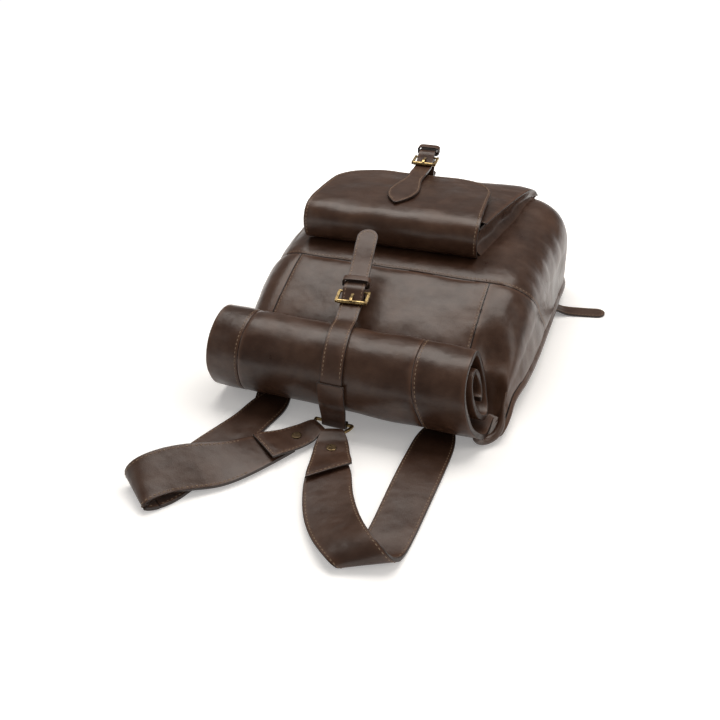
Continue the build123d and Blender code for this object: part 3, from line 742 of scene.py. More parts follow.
skin = sheet("skin", 220, 176, hull())
relax(skin, beside_roll, 10)
drop_faces(skin, under_roll)
SPLIT = 0.25           # half the gap at a seam
ALONG_X = np.array([1.0, 0, 0])
ABOVE_YOKE = (YOKE_POINT + YOKE_NORMAL * SPLIT, -YOKE_NORMAL)
LEFT_SEAM, RIGHT_SEAM = FRONT_SEAMS
PANELS = {
    "lower_body": [(YOKE_POINT - YOKE_NORMAL * SPLIT, YOKE_NORMAL)],
    "upper_front": [ABOVE_YOKE, ((LEFT_SEAM + SPLIT, 0, 0), -ALONG_X), ((RIGHT_SEAM - SPLIT, 0, 0), ALONG_X)],
    "upper_side_left": [ABOVE_YOKE, ((LEFT_SEAM - SPLIT, 0, 0), ALONG_X)],
    "upper_side_right": [ABOVE_YOKE, ((RIGHT_SEAM + SPLIT, 0, 0), -ALONG_X)],
}
panels = {}
for panel_name, planes in PANELS.items():
    panel = skin.copy()
    panel.data = skin.data.copy()
    panel.name = panel_name + "_leather"
    bpy.context.scene.collection.objects.link(panel)
    for point, normal in planes:
        cut(panel, point, normal)
    thicken(panel, 2.6, 0.9)
    dress(panel, "leather", "bag", panel_name)
    panels[panel_name] = panel
bpy.data.objects.remove(skin)


# The rolled hem that runs on from the roll's lower edge, round the open corner and up its ridge
HEM_LINE = [(140, -181, 21), (141, -177, 13.5), (143.5, -172.5, 8.0), (149, -166.5, 6.0), (155, -159, 8.5),
            (157.5, -150, 14.5), (157, -143, 21.5), (156, -135, 29.0), (155.5, -125, 36.5)]

HEM_RADIUS = 4.1


def corner_hem(u, v):
    """A round hem along its line, thinner towards both ends."""
    shares = np.linspace(0.0, 1.0, 60)
    line = eased(through(np.linspace(0.0, 1.0, len(HEM_LINE)), HEM_LINE, shares), 5)
    spot = through(shares, line, v)
    ahead = through(shares, line, np.minimum(v + 0.01, 1.0))
    behind = through(shares, line, np.maximum(v - 0.01, 0.0))
    way = ahead - behind
    way /= np.linalg.norm(way, axis=1, keepdims=True)
    side = np.cross(way, (0.0, 0.0, 1.0))
    side /= np.linalg.norm(side, axis=1, keepdims=True)
    up = np.cross(side, way)
    girth = HEM_RADIUS * (0.12 + 0.88 * ease(0.0, 0.12, v) * ease(1.0, 0.55, v))
    a = 2 * math.pi * u
    return spot + (side * np.cos(a)[:, None] + up * np.sin(a)[:, None]) * girth[:, None]


hem = sheet("corner_hem_leather", 25, 70, corner_hem)
weld(hem, 0.02)
mark_rim(hem)
bpy.ops.object.shade_smooth()
dress(hem, "leather", "bag")


def back_line(u, y):
    """X, Z of the back's section from the left side seam to the right one."""
    left, right, _, _, seam = section(y)
    sag = np.clip(seam / 24.0, 0.15, 1.0)
    zero = np.zeros_like(y)
    xs = np.stack([left + 0.6, left - 3.2, left - 1.0, left + 14, left + 34, -72 + zero, -30 + zero,
                   30 + zero, 72 + zero, right - 34, right - 14, right + 1.0, right + 3.2, right - 0.6], axis=-1)
    zs = np.stack([seam, seam - 5.5 * sag, seam - 10 * sag, seam - 10.5 * sag, 8.5 * sag, 0.4 + zero, zero,
                   zero, 0.4 + zero, 8.5 * sag, seam - 10.5 * sag, seam - 10 * sag, seam - 5.5 * sag, seam],
                  axis=-1)
    where = np.array([0, 0.02, 0.04, 0.09, 0.16, 0.28, 0.42, 0.58, 0.72, 0.84, 0.91, 0.96, 0.98, 1.0])
    i = np.clip(np.searchsorted(where, u) - 1, 0, len(where) - 2)
    row = np.arange(len(y))
    slope_x, slope_z = np.gradient(xs, where, axis=1), np.gradient(zs, where, axis=1)
    gap = where[i + 1] - where[i]
    t = (u - where[i]) / gap
    return [between(t, gap, values[row, i], slope[row, i], values[row, i + 1], slope[row, i + 1])
            for values, slope in ((xs, slope_x), (zs, slope_z))]


def back(u, v):
    u = 0.5 - 0.5 * np.sign(0.5 - u) * np.abs(1 - 2 * u) ** 0.75
    y, angle = shown_y(v, NEAR_END)
    x, z = back_line(u, y)
    turn_in = FAR_ROUND * (1 - np.cos(angle))
    middle = 10.5
    x = x - np.clip((x - middle) / 60.0, -1, 1) * turn_in * 0.9
    z = z + turn_in * ease(20, 0, z)
    z = z + 0.5 * swell(x, y, z, 34, 5) * ease(10, 16, z)
    return np.stack([x, drawn_in(x, y), np.maximum(z, 0.05)], axis=-1)


back_piece = sheet("back_panel_leather", 150, 140, lambda u, v: back(1 - u, v))
drop_faces(back_piece, lambda x, y, z: ROLL_LEFT + 2 < x < ROLL_RIGHT - 1.5 and y < -111.5)
thicken(back_piece, 2.2, 0.8)
dress(back_piece, "leather", "bag", "back_panel")


def base(u, v):
    """The base: lines between the front's edge and the back's edge, with a soft belly."""
    y = np.full_like(u, FAR_END)
    x1, z1, nx, nz = hull_section(u, y)
    x1, z1 = x1 - nx * (FAR_ROUND + 0.3), z1 - nz * (FAR_ROUND + 0.3)
    edge = back(u, np.ones_like(u))
    x = edge[:, 0] + (x1 - edge[:, 0]) * v
    z = edge[:, 2] + 0.8 + (z1 - edge[:, 2] - 0.8) * v
    belly = 3.2 * (4 * v * (1 - v)) ** 0.6 * (4 * u * (1 - u)) ** 0.5
    out = FAR_END - 0.6 + belly + 0.7 * swell(x, y, z, 40, 12) * ease(0, 0.15, u * (1 - u))
    return np.stack([x, out, z], axis=-1)


base_piece = sheet("base_panel_leather", 110, 36, lambda u, v: base(1 - u, v))
weld(base_piece, 0.3)
thicken(base_piece, 2.4, 0.9)
dress(base_piece, "leather", "bag", "base_panel")

lining = sheet("cotton_lining", 96, 70, hull(lift=-5.0, near=-80.0))
cut(lining, (0, FAR_END - 14, 0), (0, 1, 0))
thicken(lining, 0.8, 0.2)
dress(lining, "lining", "bag", "main_lining")

# ---------------------------------------------------------------- the rolled mouth

LAYER = 6.4
PITCH = 8.2
HALF_TURNS = 4
LEAD = 40.0            # the flat run before the winding starts
END_SHEAR = 15.0       # how far the roll's right end leans in over its height


def spiral(s):
    """Y, Z and the outward direction of the roll's outer face at share s of its winding."""
    start = ROLL_RADIUS
    radii = [start - PITCH * k for k in range(HALF_TURNS)]
    runs = [LEAD] + [math.pi * r for r in radii]
    marks = np.concatenate([[0.0], np.cumsum(runs)])
    p = s * marks[-1]
    y, z, ny, nz = (np.zeros_like(p) for _ in range(4))
    lead = p < marks[1]
    y[lead], z[lead] = ROLL_Y + LEAD - p[lead], ROLL_Z - start - 2.0 * (1 - p[lead] / LEAD)
    nz[lead] = -1
    height = ROLL_Z
    for k, radius in enumerate(radii):
        way = 1 if k % 2 == 0 else -1
        here = (p >= marks[k + 1]) & (p <= marks[k + 2] + 1e-6)
        a = (p[here] - marks[k + 1]) / radius
        y[here] = ROLL_Y - way * radius * np.sin(a)
        z[here] = height - way * radius * np.cos(a)
        ny[here], nz[here] = -way * np.sin(a), -way * np.cos(a)
        height += way * PITCH
    return y, z, ny, nz, p, marks


def roll_shape(start, end):
    """Lays the roll from start to end, pressed down beside the closure strap and at its seams."""
    def laid(u, v):
        y, z, ny, nz, p, marks = spiral(v)
        x = start + (end - start) * u
        inner = ease(marks[2] * 0.9, marks[3], p)
        strap_x = CLOSURE_X - (y - ROLL_Y) * math.tan(math.radians(CLOSURE_TURN))
        clear = ease(13.0, 34.0, np.abs(x - strap_x))
        edge_out = ease(26, 0, ROLL_RIGHT - x) + ease(26, 0, x - ROLL_LEFT)
        wave = 0.9 * swell(x, y, z, 46, 21) + 0.4 * swell(x, y, z, 17, 22)
        lift = clear * (0.5 + wave) * (1 - inner) - 0.9 * edge_out * (1 - inner) * 0.6
        lift = np.where(z < 9.0, np.minimum(lift, 0.6), lift)
        seam = np.minimum(np.abs(x - LEFT_BAND), np.abs(x - RIGHT_BAND))
        lift = lift - 0.7 * np.exp(-seam / 2.5) * (1 - inner)
        y, z = y + ny * lift, z + nz * lift
        y = ROLL_Y + (y - ROLL_Y) * (1 - 0.16 * inner) + 3.0 * inner
        z = z + inner * 2.0 * np.sin(x / 31.0)
        foot = 6.0 * ease(34.0, 4.0, z) * ease(108.0, 142.0, x)
        x = x + foot - END_SHEAR * ease(4.0, 86.0, z) * ease(10.0, 90.0, x)
        return np.stack([x, y, z], axis=-1)
    return laid


ROLL_PARTS = {
    "roll_band_left": (ROLL_LEFT, LEFT_BAND + 0.5, 16),
    "roll_centre": (LEFT_BAND, RIGHT_BAND, 74),
    "roll_band_right": (RIGHT_BAND - 0.5, ROLL_RIGHT, 22),
}
for part_name, (start, end, columns) in ROLL_PARTS.items():
    roll_part = sheet(part_name + "_leather", columns, 190, roll_shape(start, end))
    thicken(roll_part, LAYER - 0.8, 1.0)
    dress(roll_part, "leather", "bag", part_name)

# ---------------------------------------------------------------- closure strap

CLOSURE = Frame(CLOSURE_X, ROLL_Y, 0, CLOSURE_TURN)
CLOSURE_HALF = 11.0
BUCKLE_AT = (50.0, 98.0)
BUCKLE_RISE = 8.0
REACH = 8.7            # from a buckle's middle to its bars


def on_roll(angle, lift):
    reach = ROLL_RADIUS + lift
    return ROLL_Y - reach * math.cos(math.radians(angle)), ROLL_Z + reach * math.sin(math.radians(angle))


def wrap_edges(angles, lift, half):
    """Edge points of a skewed strip that lies on the roll."""
    left, right = [], []
    for angle in angles:
        y, z = on_roll(angle, lift)
        for side, line in ((-half, left), (half, right)):
            x = CLOSURE.origin[0] + (side - (y - ROLL_Y) * CLOSURE.x[1]) / CLOSURE.x[0]
            line.append((x, y, z))
    return left, right


def through_buckle(y, z, rise, low, high, tail):
    """Side points of a strap's upper face from under the roller bar to over the heel bar."""
    a = math.radians(rise)
    spots = ((-REACH - 6, low), (-REACH + 0.5, low), (0.0, (low + high) / 2), (REACH - 2.0, high),
             (REACH + tail, high))
    return [(y + p * math.cos(a) - q * math.sin(a), z + p * math.sin(a) + q * math.cos(a)) for p, q in spots]


bends = through_buckle(*BUCKLE_AT, BUCKLE_RISE, -2.5, 6.8, 10.0)
wrap_left, wrap_right = wrap_edges([-26, -18, -8, 2, 12, 22, 34, 46, 58, 70, 80, 88], 3.0, CLOSURE_HALF)
end_y, end_z = bends[-1]
tail_path = [(16, 89.5), *bends, *((end_y + y, end_z + z) for y, z in ((20, 8), (42, 21), (62, 31)))]
tail_left, tail_right = side_edges(CLOSURE, tail_path, CLOSURE_HALF)
closure_line = Strip(wrap_left + tail_left, wrap_right + tail_right, end_round=CLOSURE_HALF, crown=0.25)
closure_strap = closure_line.piece("closure_strap_leather", 2.5, columns=14, step=2.0, edge=0.7)
dress(closure_strap, "strap_leather")
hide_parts("closure_strap", "closure_strap_base")
closure_sewing = stitches("closure_strap_stitching", [sewn_border(closure_line, 2.4, start=34.0)])
HINGE_LOW, HINGE_HIGH = on_roll(6, 1.6), on_roll(26, 1.6)
for part in (closure_strap, closure_sewing):
    HINGE_LOW[0] * MM
    HINGE_LOW[1] * MM
    HINGE_HIGH[0] * MM
    HINGE_HIGH[1] * MM
    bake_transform(part)

patch_left, patch_right = wrap_edges([10, 2, -8, -18, -28, -38], 5.2, 13.5)
PATCH_X, PATCH_HALF = 4.0, 12.5
patch_tail = [(-195.6, 8.6), (-195.4, 3.8), (-191.4, 1.5), (-187.6, 3.6), (-187.2, 8.0)]
patch_left = patch_left[:-1] + [(PATCH_X - PATCH_HALF, y, z) for y, z in patch_tail]
patch_right = patch_right[:-1] + [(PATCH_X + PATCH_HALF, y, z) for y, z in patch_tail]
patch_line = Strip(patch_right, patch_left, crown=0.3)
patch = patch_line.piece("rear_patch_leather", 2.1, columns=14, step=1.2, edge=0.6)
dress(patch, "strap_leather", "bag", "rear_patch")

# ---------------------------------------------------------------- pocket and flap

POCKET = Frame(-8.0, 3.0, 0, 2.0)
POCKET_BUCKLE_AT = (148.0, 160.0)
FACE_START, FACE_END = 26.0, 194.5
SIDE_RUN, FAR_RUN = 184.0, 240.0
FLAP_HALF = 99.0
FLAP_FACE = [(5, 106.5), (-1.5, 110.3), (-6.3, 117), (-8.8, 125), (-8.6, 134), (-4.6, 142.3), (3, 148),
             (14, 151), (35, 152.3), (60, 152.6), (100, 150.8), (118, 149.6), (131, 148.4)]
flap_halves = [FLAP_HALF - 1.5 - max(0, y) * 0.045 for y, z in FLAP_FACE]
flap_left, flap_right = side_edges(POCKET, FLAP_FACE, flap_halves)
flap_line = Strip(flap_left, flap_right, end_round=50.0)


def flap_relief(s, t, points):
    x, y, z = points.T
    wave = 0.9 * swell(x, y, z, 60, 31) + 0.35 * swell(x, y, z, 20, 32)
    still = ease(20, 45, np.abs(x)) * 0.7 + 0.3
    edges = ease(0.0, 0.06, np.minimum(t, 1 - t))
    return wave * edges * still * ease(4, 24, s)


flap = flap_line.piece("pocket_flap_leather", 3.0, columns=84, step=2.4, edge=0.9, shape=flap_relief)
dress(flap, "leather")
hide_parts("pocket_flap", "flap_root")
flap_sewing = stitches("pocket_flap_stitching", [sewn_border(flap_line, 3.0, start=14.0, lift=0.05)])
CREST_LOW, CREST_HIGH = POCKET.at(0, -9, 128), POCKET.at(0, 26, 152)
for part in (flap, flap_sewing):
    tuple(CREST_LOW * MM)
    tuple(CREST_HIGH * MM)
    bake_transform(part)


def pocket_sides(y):
    """Local x of the pocket's left and right walls."""
    share = np.clip(y / 192.0, 0, 1)
    return -94 + 10 * share, 94 + 40 * share


def pocket_top(y):
    """The height of the pocket's front, which falls towards its far wall."""
    heights = [139.3, 140, 140.3, 139.3, 137, 133.2, 127.5, 117.5]
    return through([11, 35, 60, 100, 140, 165, 180, 194], heights, y)


def to_world(frame, x, y, z):
    return frame.origin + x[..., None] * frame.x + y[..., None] * frame.y + z[..., None] * frame.z


def pocket_face(u, v):
    y = FACE_START + (FACE_END - FACE_START) * v
    left, right = pocket_sides(y)
    x = left - 1.2 + (right - left + 2.4) * u
    edge = np.minimum(u, 1 - u)
    z = pocket_top(y) + 1.1 * (4 * u * (1 - u)) ** 0.5 - 1.4 * np.exp(-edge * 50.0)
    spot = to_world(POCKET, x, y, z)
    rest = front_height(spot[:, 0], spot[:, 1]) + 1.6
    spot[:, 2] += 0.8 * swell(*spot.T, 48, 41) * ease(0, 0.1, edge) * ease(26, 60, y)
    spot[:, 2] = np.maximum(spot[:, 2], rest)
    return spot


pocket_front = sheet("pocket_front_leather", 96, 72, pocket_face)
thicken(pocket_front, 2.4, 0.8)
dress(pocket_front, "leather", "bag", "pocket_front")


def gusset_path(u):
    """Local x, y and outward direction round the pocket's right, far and left walls."""
    run = np.array([0.0, SIDE_RUN, SIDE_RUN + FAR_RUN, SIDE_RUN + FAR_RUN + SIDE_RUN])
    p = u * run[-1]
    y = np.interp(p, run, [11, 191.5, 191.5, 11])
    left, right = pocket_sides(y)
    left, right = left + 0.8, right - 0.8
    across = right + (left - right) * (p - run[1]) / FAR_RUN
    x = np.where(p < run[1], right, np.where(p > run[2], left, across))
    nx = np.where(p < run[1], 1.0, np.where(p > run[2], -1.0, 0.0))
    ny = np.where((p >= run[1]) & (p <= run[2]), 1.0, 0.0)
    return x, y, nx, ny


def gusset_wall(u, v):
    x, y, nx, ny = gusset_path(u)
    base_spot = to_world(POCKET, x, y, np.zeros_like(x))
    low = front_height(base_spot[:, 0], base_spot[:, 1]) - 2.0
    high = np.maximum(pocket_top(y) - 1.6, low + 1.0)
    fold = (5.5 * np.sin(math.pi * v) - 4.5 * ease(0.35, 0.0, v)) * np.clip((high - low) / 24.0, 0, 1)
    fold = fold + 0.9 * np.sin(u * 70.0) * np.sin(math.pi * v)
    z = low + (high - low) * v
    return to_world(POCKET, x - nx * fold, y - ny * fold, z)


gusset = sheet("pocket_gusset_leather", 190, 16, lambda u, v: gusset_wall(1 - u, v))
thicken(gusset, 2.0, 0.6)
dress(gusset, "leather", "bag", "pocket_gusset")

# The shield that is sewn on the flap, and its strap through the pocket buckle
pocket_bends = through_buckle(*POCKET_BUCKLE_AT, BUCKLE_RISE, -2.5, 6.8, 8.0)
end_y, end_z = pocket_bends[-1]
shield_path = [(17.5, 154.7), (24, 155.2), (32, 155.4), (52, 155.7), (70, 155.7), (86, 155.6), (104, 155.0),
               (122, 155.6), *pocket_bends, (end_y + 12, end_z - 0.6), (end_y + 25, end_z - 11)]
shield_halves = [1.5, 7, 12, 17, 15, 11.5, 10, 10] + [10.0] * 7
shield_left, shield_right = side_edges(POCKET, shield_path, shield_halves)
shield_line = Strip(shield_left, shield_right, end_round=10.0, crown=0.3)
shield = shield_line.piece("flap_shield_leather", 2.5, columns=14, step=2.0, edge=0.7)
dress(shield, "strap_leather", "flap", "flap_shield")
shield_rows = [sewn_line(shield_line, 6, 92, 2.2, side) for side in (-1, 1)]
shield_sewing = stitches("flap_shield_stitching", shield_rows)
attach(shield_sewing, "flap")


def keeper_loop(name, frame, middle_y, width, body):
    """A closed loop of leather round a strap."""
    low, high = 2.6, 8.2
    squareness = 0.42

    def laid(u, v):
        a = 2 * math.pi * u
        x = (width / 2 + 1.9) * np.sign(np.cos(a)) * np.abs(np.cos(a)) ** squareness
        z = (low + high) / 2 + ((high - low) / 2 + 1.4) * np.sign(np.sin(a)) * np.abs(np.sin(a)) ** squareness
        y = middle_y + 8.0 * (v - 0.5)
        return to_world(frame, x, y, z)
    loop = sheet(name + "_leather", 56, 5, laid)
    weld(loop, 0.05)
    thicken(loop, 1.5, 0.5)
    dress(loop, "strap_leather", body, name)


def buckle_frame(parent, y, z, rise):
    spot = parent.at(0, y, z)
    return Frame(*spot, parent.turn, rise)


keeper_loop("closure_keeper", buckle_frame(CLOSURE, *BUCKLE_AT, BUCKLE_RISE), 19.0, 22.0, "closure")
keeper_loop("pocket_keeper", buckle_frame(POCKET, *POCKET_BUCKLE_AT, BUCKLE_RISE), 18.0, 20.0, "flap")


def chape(name, parent, spot, snap_y, half, body):
    """A doubled strap from round the heel bar down to its snap."""
    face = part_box(name + "_snap_cap")[1].z / MM - 0.6
    bar = buckle_frame(parent, *spot, BUCKLE_RISE).at(0, REACH, 0) - parent.at(0, 0, 0)
    bar_y, bar_z = float(np.dot(bar, parent.y)), float(bar[2])
    path = [(bar_y - 1.0, bar_z - 3.0), (bar_y - 3.4, bar_z - 0.4), (bar_y - 1.6, bar_z + 2.9),
            (bar_y + 2.2, bar_z + 2.3), (bar_y + 6, (bar_z + face) / 2 + 2.4), (snap_y - 7, face + 1.2),
            (snap_y, face + 0.9), (snap_y + 10, face + 1.4)]
    left, right = side_edges(parent, path, half)
    line = Strip(left, right, end_round=half * 0.9)
    piece = line.piece(name + "_chape_leather", 2.2, columns=10, step=1.0, edge=0.5)
    dress(piece, "strap_leather", body, name + "_chape")


chape("closure", CLOSURE, BUCKLE_AT, 80.0, 9.6, "closure")
chape("pocket", POCKET, POCKET_BUCKLE_AT, 168.0, 8.8, "flap")

# ---------------------------------------------------------------- ring tabs and shoulder straps

RING_AT = (3.0, -191.0, 6.0)
RING_RADIUS = 19.0


def ring_tab(side_name, turn, slant):
    """A doubled tab round the ring, which widens to the shoulder strap; slant lengthens its right edge."""
    tab_frame = Frame(*Frame(*RING_AT, turn).at(0, -RING_RADIUS, 0), turn + 180.0)
    path = [(30, -2.2), (20, -2.6), (9, -3.6), (1, -4.9), (-3.6, -3.4), (-5.0, 0), (-3.6, 3.6), (0, 4.9),
            (6, 3.4), (12, 1.6), (20, 1.1), (30, 1.3), (42, 3.2), (50, 4.8), (59, 5.5)]
    halves = [9, 8.5, 8.5, 9, 9.5, 9.5, 9.5, 10.5, 13, 15, 16.5, 17.5, 18.8, 19.8, 20.3]
    longer, shorter = ([(y + slant * side * max(0.0, y - 24), z) for y, z in path] for side in (1, -1))
    left = side_edges(tab_frame, shorter, halves)[0]
    right = side_edges(tab_frame, longer, halves)[1]
    line = Strip(left, right, crown=0.35)
    tab = line.piece(f"strap_tab_{side_name}_leather", 1.9, columns=16, step=1.4, edge=0.6)
    dress(tab, "strap_leather", "ring_and_tabs", f"strap_tab_{side_name}")
    first = line.length - 46
    last = line.length - 2.5
    s = np.full(24, last)
    t = np.linspace(0.07, 0.93, 24)
    rows = [sewn_line(line, first, last, 2.4, side) for side in (-1, 1)]
    rows.append((line.at(s, t), line.normal(s, t)))
    sewing = stitches(f"strap_tab_{side_name}_stitching", rows)
    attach(sewing, "ring_and_tabs")


ring_tab("left", -36.0, 0.0)
ring_tab("right", 18.5, 0.3)

LEFT_LOOP = [
    ((-38, -225, 3.2), (-16, -241, 3.2)), ((-59, -241, 7), (-26, -266, 5)), ((-75, -272, 19), (-57, -313, 4)),
    ((-94, -289, 25), (-76, -326, 6.5)), ((-113, -305, 27), (-92, -343, 10)),
    ((-128, -321, 26), (-98, -354, 11)),
    ((-136, -332, 24), (-102, -361, 10.5)), ((-140, -338, 17), (-104, -365, 7.5)),
    ((-139, -337, 8), (-103, -363.5, 4)), ((-134, -332, 3.5), (-97, -357, 2.2)),
    ((-126, -322, 2), (-86, -346, 2)),
    ((-121, -303, 2), (-78, -320, 2)), ((-113, -264, 2), (-69, -274, 2)), ((-103, -232, 2), (-60, -240, 2)),
    ((-94, -202, 2), (-56, -209, 2)), ((-93, -186, 2), (-53, -193, 2)), ((-88, -168, 2), (-52, -176, 2)),
    ((-82, -154, 2), (-58, -158, 2)),
]
RIGHT_LOOP = [
    ((6, -245, 3.2), (32, -236, 3.2)), ((7, -269, 5), (46, -255, 6)), ((17, -299, 4.5), (55, -278, 9)),
    ((33, -330, 5), (73, -310, 14)), ((51, -351, 7), (90, -334, 22)), ((64, -362, 10), (103, -346, 24)),
    ((71, -366.5, 9.5), (111, -350, 21)), ((74, -368.5, 6.5), (115.5, -351.5, 15)),
    ((74.5, -367, 3.5), (117, -349, 8)), ((77, -362, 2.2), (119.5, -343, 4)), ((81, -346, 2), (121, -327, 2)),
    ((83, -318, 2), (122, -305, 2)), ((82, -268, 2), (122.5, -264, 2)), ((81.5, -215, 2), (123, -210, 2)),
    ((82, -200, 2), (123, -196, 2)), ((82, -184, 2), (122, -180, 2)), ((84, -168, 2), (119, -165, 2)),
    ((90, -154, 2), (113, -152, 2)),
]
STRAP_THICK = 3.4
HAIRPIN = 9            # the loops' station where the outgoing leg ends


def shoulder_strap(side_name, loop):
    """The outgoing leg stays where it is made, in place of the CAD strap, and the leg that comes back lies under
    the bag.
    """
    drawn = Strip([a for a, b in loop], [b for a, b in loop])
    s = np.linspace(0.0, drawn.length, int(drawn.length / 4.0))
    whole = Strip(*(eased(through(drawn.stations, edge, s), 14) for edge in (drawn.left, drawn.right)))
    turn_at = float(drawn.stations[HAIRPIN] / drawn.length * whole.length)
    for leg, s0, s1 in (("front", 0.0, turn_at), ("return", turn_at, whole.length)):
        def laid(u, v, s0=s0, s1=s1):
            return whole.at(s0 + (s1 - s0) * v, u, STRAP_THICK / 2)

        strap = sheet(f"shoulder_strap_{side_name}_{leg}", 20, int((s1 - s0) / 2.4), laid)
        thicken(strap, STRAP_THICK, 0.9)
        dress(strap, "strap_leather")
        a, b = s0 + (48 if leg == "front" else 2), s1 - 3
        rows = [sewn_line(whole, a, b, 2.6, side, lift=STRAP_THICK / 2, under=under)
                for side in (-1, 1) for under in (None, STRAP_THICK)]
        sewing = stitches(f"shoulder_strap_{side_name}_{leg}_stitching", rows)
        if leg == "front":
            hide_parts(f"shoulder_strap_{side_name}")
            for part in (strap, sewing):
                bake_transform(part)
        else:
            for part in (strap, sewing):
                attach(part, "bag")


shoulder_strap("left", LEFT_LOOP)
shoulder_strap("right", RIGHT_LOOP)

# ---------------------------------------------------------------- lower straps

LOWER_HALF = 10.0
LOWER_THICK = 2.3
ADJUSTER_BAR = 18 / 2 - 1.3   # from an adjuster's middle to its bars
LOW, HIGH, BAR_HEIGHT = 1.5, 10.3, 5.6
ADJUSTERS = {"left": (-124, 62, 3), "right": (136, 96, -48)}
APPROACH = {
    "left": [(-77, -186.5, LOW, 15), (-97, -118, LOW, 14), (-112, -55, LOW, 11), (-121, 5, LOW, 7)],
    "right": [(102, -182.5, LOW, 0), (103, -60, LOW, 0), (104, 10, LOW, -4), (110, 55, LOW, -20),
              (119, 76, LOW, -34)],
}
TAILS = {
    "left": [(-126.5, 110, HIGH, 3), (-129, 150, HIGH, 3)],
    "right": [(153, 109, HIGH, -54), (166, 117, 9.3, -62), (180, 124, 3.2, -70), (196, 129, LOW, -78),
              (226, 136, LOW, -82)],
}
ANCHORS = {
    "left": [(-125.5, 90, 6.2, 3), (-127.5, 130, 6.8, 3), (-131, 192, 9.5, 3)],
    "right": [(149, 111, 5.9, -32), (152, 125, 6.2, -8), (150, 155, 8, 6), (143, 192, 10, 12)],
}


def flat_line(route):
    frames = [Frame(*stop) for stop in route]
    return [f.at(-LOWER_HALF, 0, 0) for f in frames], [f.at(LOWER_HALF, 0, 0) for f in frames]


for side_name, (x, y, turn) in ADJUSTERS.items():
    hub = Frame(x, y, BAR_HEIGHT, turn)
    bar = ADJUSTER_BAR

    def spot(along, z, hub=hub, turn=turn):
        p = hub.at(0, along, 0)
        return (p[0], p[1], z, turn)

    route = [*APPROACH[side_name], spot(-bar - 4, LOW), spot(-bar + 2, LOW), spot(bar - 3, HIGH),
             spot(bar + 6, HIGH), *TAILS[side_name]]
    line = Strip(*flat_line(route), end_round=LOWER_HALF)
    lower = line.piece(f"lower_strap_{side_name}_leather", LOWER_THICK, LOWER_THICK / 2, 12, 2.4, 0.7)
    dress(lower, "strap_leather", "bag", f"lower_strap_{side_name}")
    rows = [sewn_border(line, 2.2, start=6.0, lift=LOWER_THICK / 2)]
    sewing = stitches(f"lower_strap_{side_name}_stitching", rows)
    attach(sewing, "bag")
    route = [spot(bar - 2.8, BAR_HEIGHT), spot(bar + 8.2, BAR_HEIGHT), *ANCHORS[side_name]]
    anchor_line = Strip(*flat_line(route))
    anchor_name = f"anchor_strap_{side_name}"
    anchor = anchor_line.piece(anchor_name + "_leather", LOWER_THICK, LOWER_THICK / 2, 10, 2.6, 0.6)
    dress(anchor, "strap_leather", "bag", anchor_name, f"anchor_eye_{side_name}")

# ---------------------------------------------------------------- seams' stitching

BESIDE_SEAM = 2.6
seam_rows = []
for seam_x in (LEFT_SEAM + BESIDE_SEAM, RIGHT_SEAM - BESIDE_SEAM):
    ys = np.linspace(-108, -24, 90)
    starts = [(seam_x, y, 250) for y in ys]
    seam_rows.append(drop_on(panels["upper_front"], starts, [(0, 0, -1)] * len(starts)))
yoke_up = np.array([0.0, -YOKE_NORMAL[2], YOKE_NORMAL[1]])
yoke_up = -yoke_up if yoke_up[2] < 0 else yoke_up
hub = YOKE_POINT - YOKE_NORMAL * 3.0 + yoke_up * 20 + np.array([10.0, 0, 0])
fan = np.radians(np.linspace(-2, 182, 420))
ways = [-(np.cos(a) * ALONG_X + np.sin(a) * yoke_up) for a in fan]
seam_rows.append(drop_on(panels["lower_body"], [hub - w * 400 for w in ways], ways))
seam_sewing = stitches("seam_stitching", seam_rows)
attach(seam_sewing, "bag")

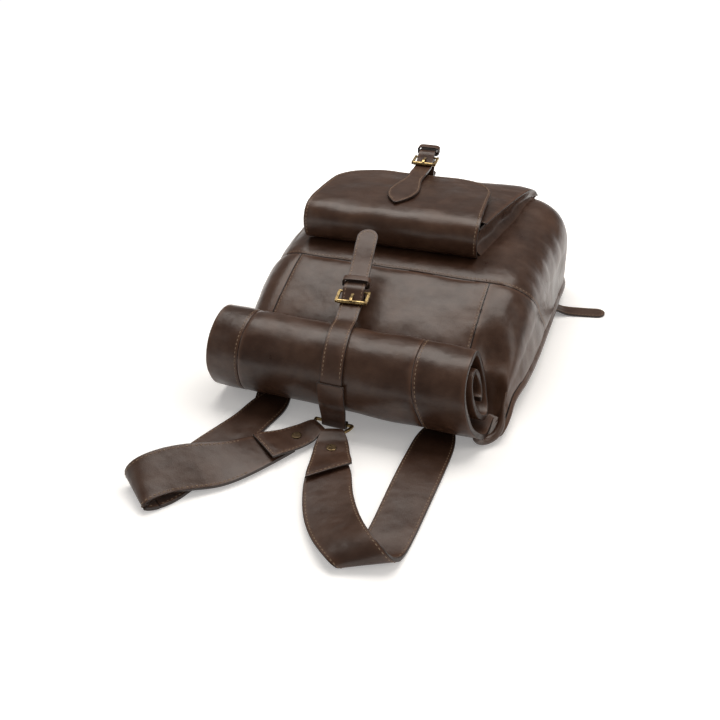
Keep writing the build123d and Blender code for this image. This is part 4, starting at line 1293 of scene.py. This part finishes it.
band_rows = []
for x in (LEFT_BAND - BESIDE_SEAM, RIGHT_BAND + BESIDE_SEAM):
    v = np.linspace(0.09, 0.46, 160)
    shaped = roll_shape(0.0, 1.0)(np.full_like(v, x), v)
    y, z, ny, nz = spiral(v)[:4]
    band_rows.append((shaped, np.stack([0 * ny, ny, nz], axis=-1)))
band_sewing = stitches("roll_band_stitching", band_rows)
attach(band_sewing, "bag")

# ---------------------------------------------------------------- carried-over pieces

for subpart in frame["record"]["subparts"]:
    node = nodes[subpart["node"]]
    if not node.hide_render:
        dress(node, subpart["material_slot"], finish=bronze if "rivet" in subpart["node"] else None)

# ---------------------------------------------------------------- studio

bpy.ops.object.select_all(action="DESELECT")
bpy.ops.mesh.primitive_plane_add(size=90, location=(0, 0, 0))
floor = bpy.context.object
floor.name = "studio_floor"
sweep = Finish("studio_paper", Emission_Strength=1.0, Roughness=0.9)
where = sweep.place()
paper = sweep.noise(where, 300.0, 2.0)
sweep.surface(Base_Color=sweep.mix(paper, (0.90, 0.90, 0.90), (0.93, 0.93, 0.93)))
away = sweep.node("ShaderNodeVectorMath", {0: where}, output="Value", operation="LENGTH")
glow = sweep.span(away, 0.16, 0.9)
sweep.surface(Emission_Color=sweep.mix(glow, (0.22, 0.22, 0.22), (0.80, 0.80, 0.80)))
floor.data.materials.append(sweep.material)

world = bpy.data.worlds.new("studio")
world.use_nodes = True
backdrop = world.node_tree.nodes["Background"].inputs
backdrop["Color"].default_value = (1.0, 0.96, 0.91, 1.0)
backdrop["Strength"].default_value = 0.24
bpy.context.scene.world = world


def softbox(name, place, size, power, aim=(0.0, -0.05, 0.05)):
    light = bpy.data.lights.new(name, "AREA")
    light.color = (1.0, 0.95, 0.89)
    light.shape = "RECTANGLE"
    light.size, light.size_y = size
    light.energy = power
    lamp = bpy.data.objects.new(name, light)
    lamp.location = place
    lamp.rotation_euler = (Vector(aim) - Vector(place)).to_track_quat("-Z", "Y").to_euler()
    bpy.context.scene.collection.objects.link(lamp)


softbox("overhead", (-0.05, 0.35, 1.25), (1.5, 0.8), 17.0)
softbox("left_fill", (-1.3, -0.5, 0.6), (0.9, 0.9), 2.5)
softbox("right_fill", (1.4, -0.1, 0.8), (0.9, 0.9), 6.0)
bpy.context.scene.view_settings.view_transform = "Standard"
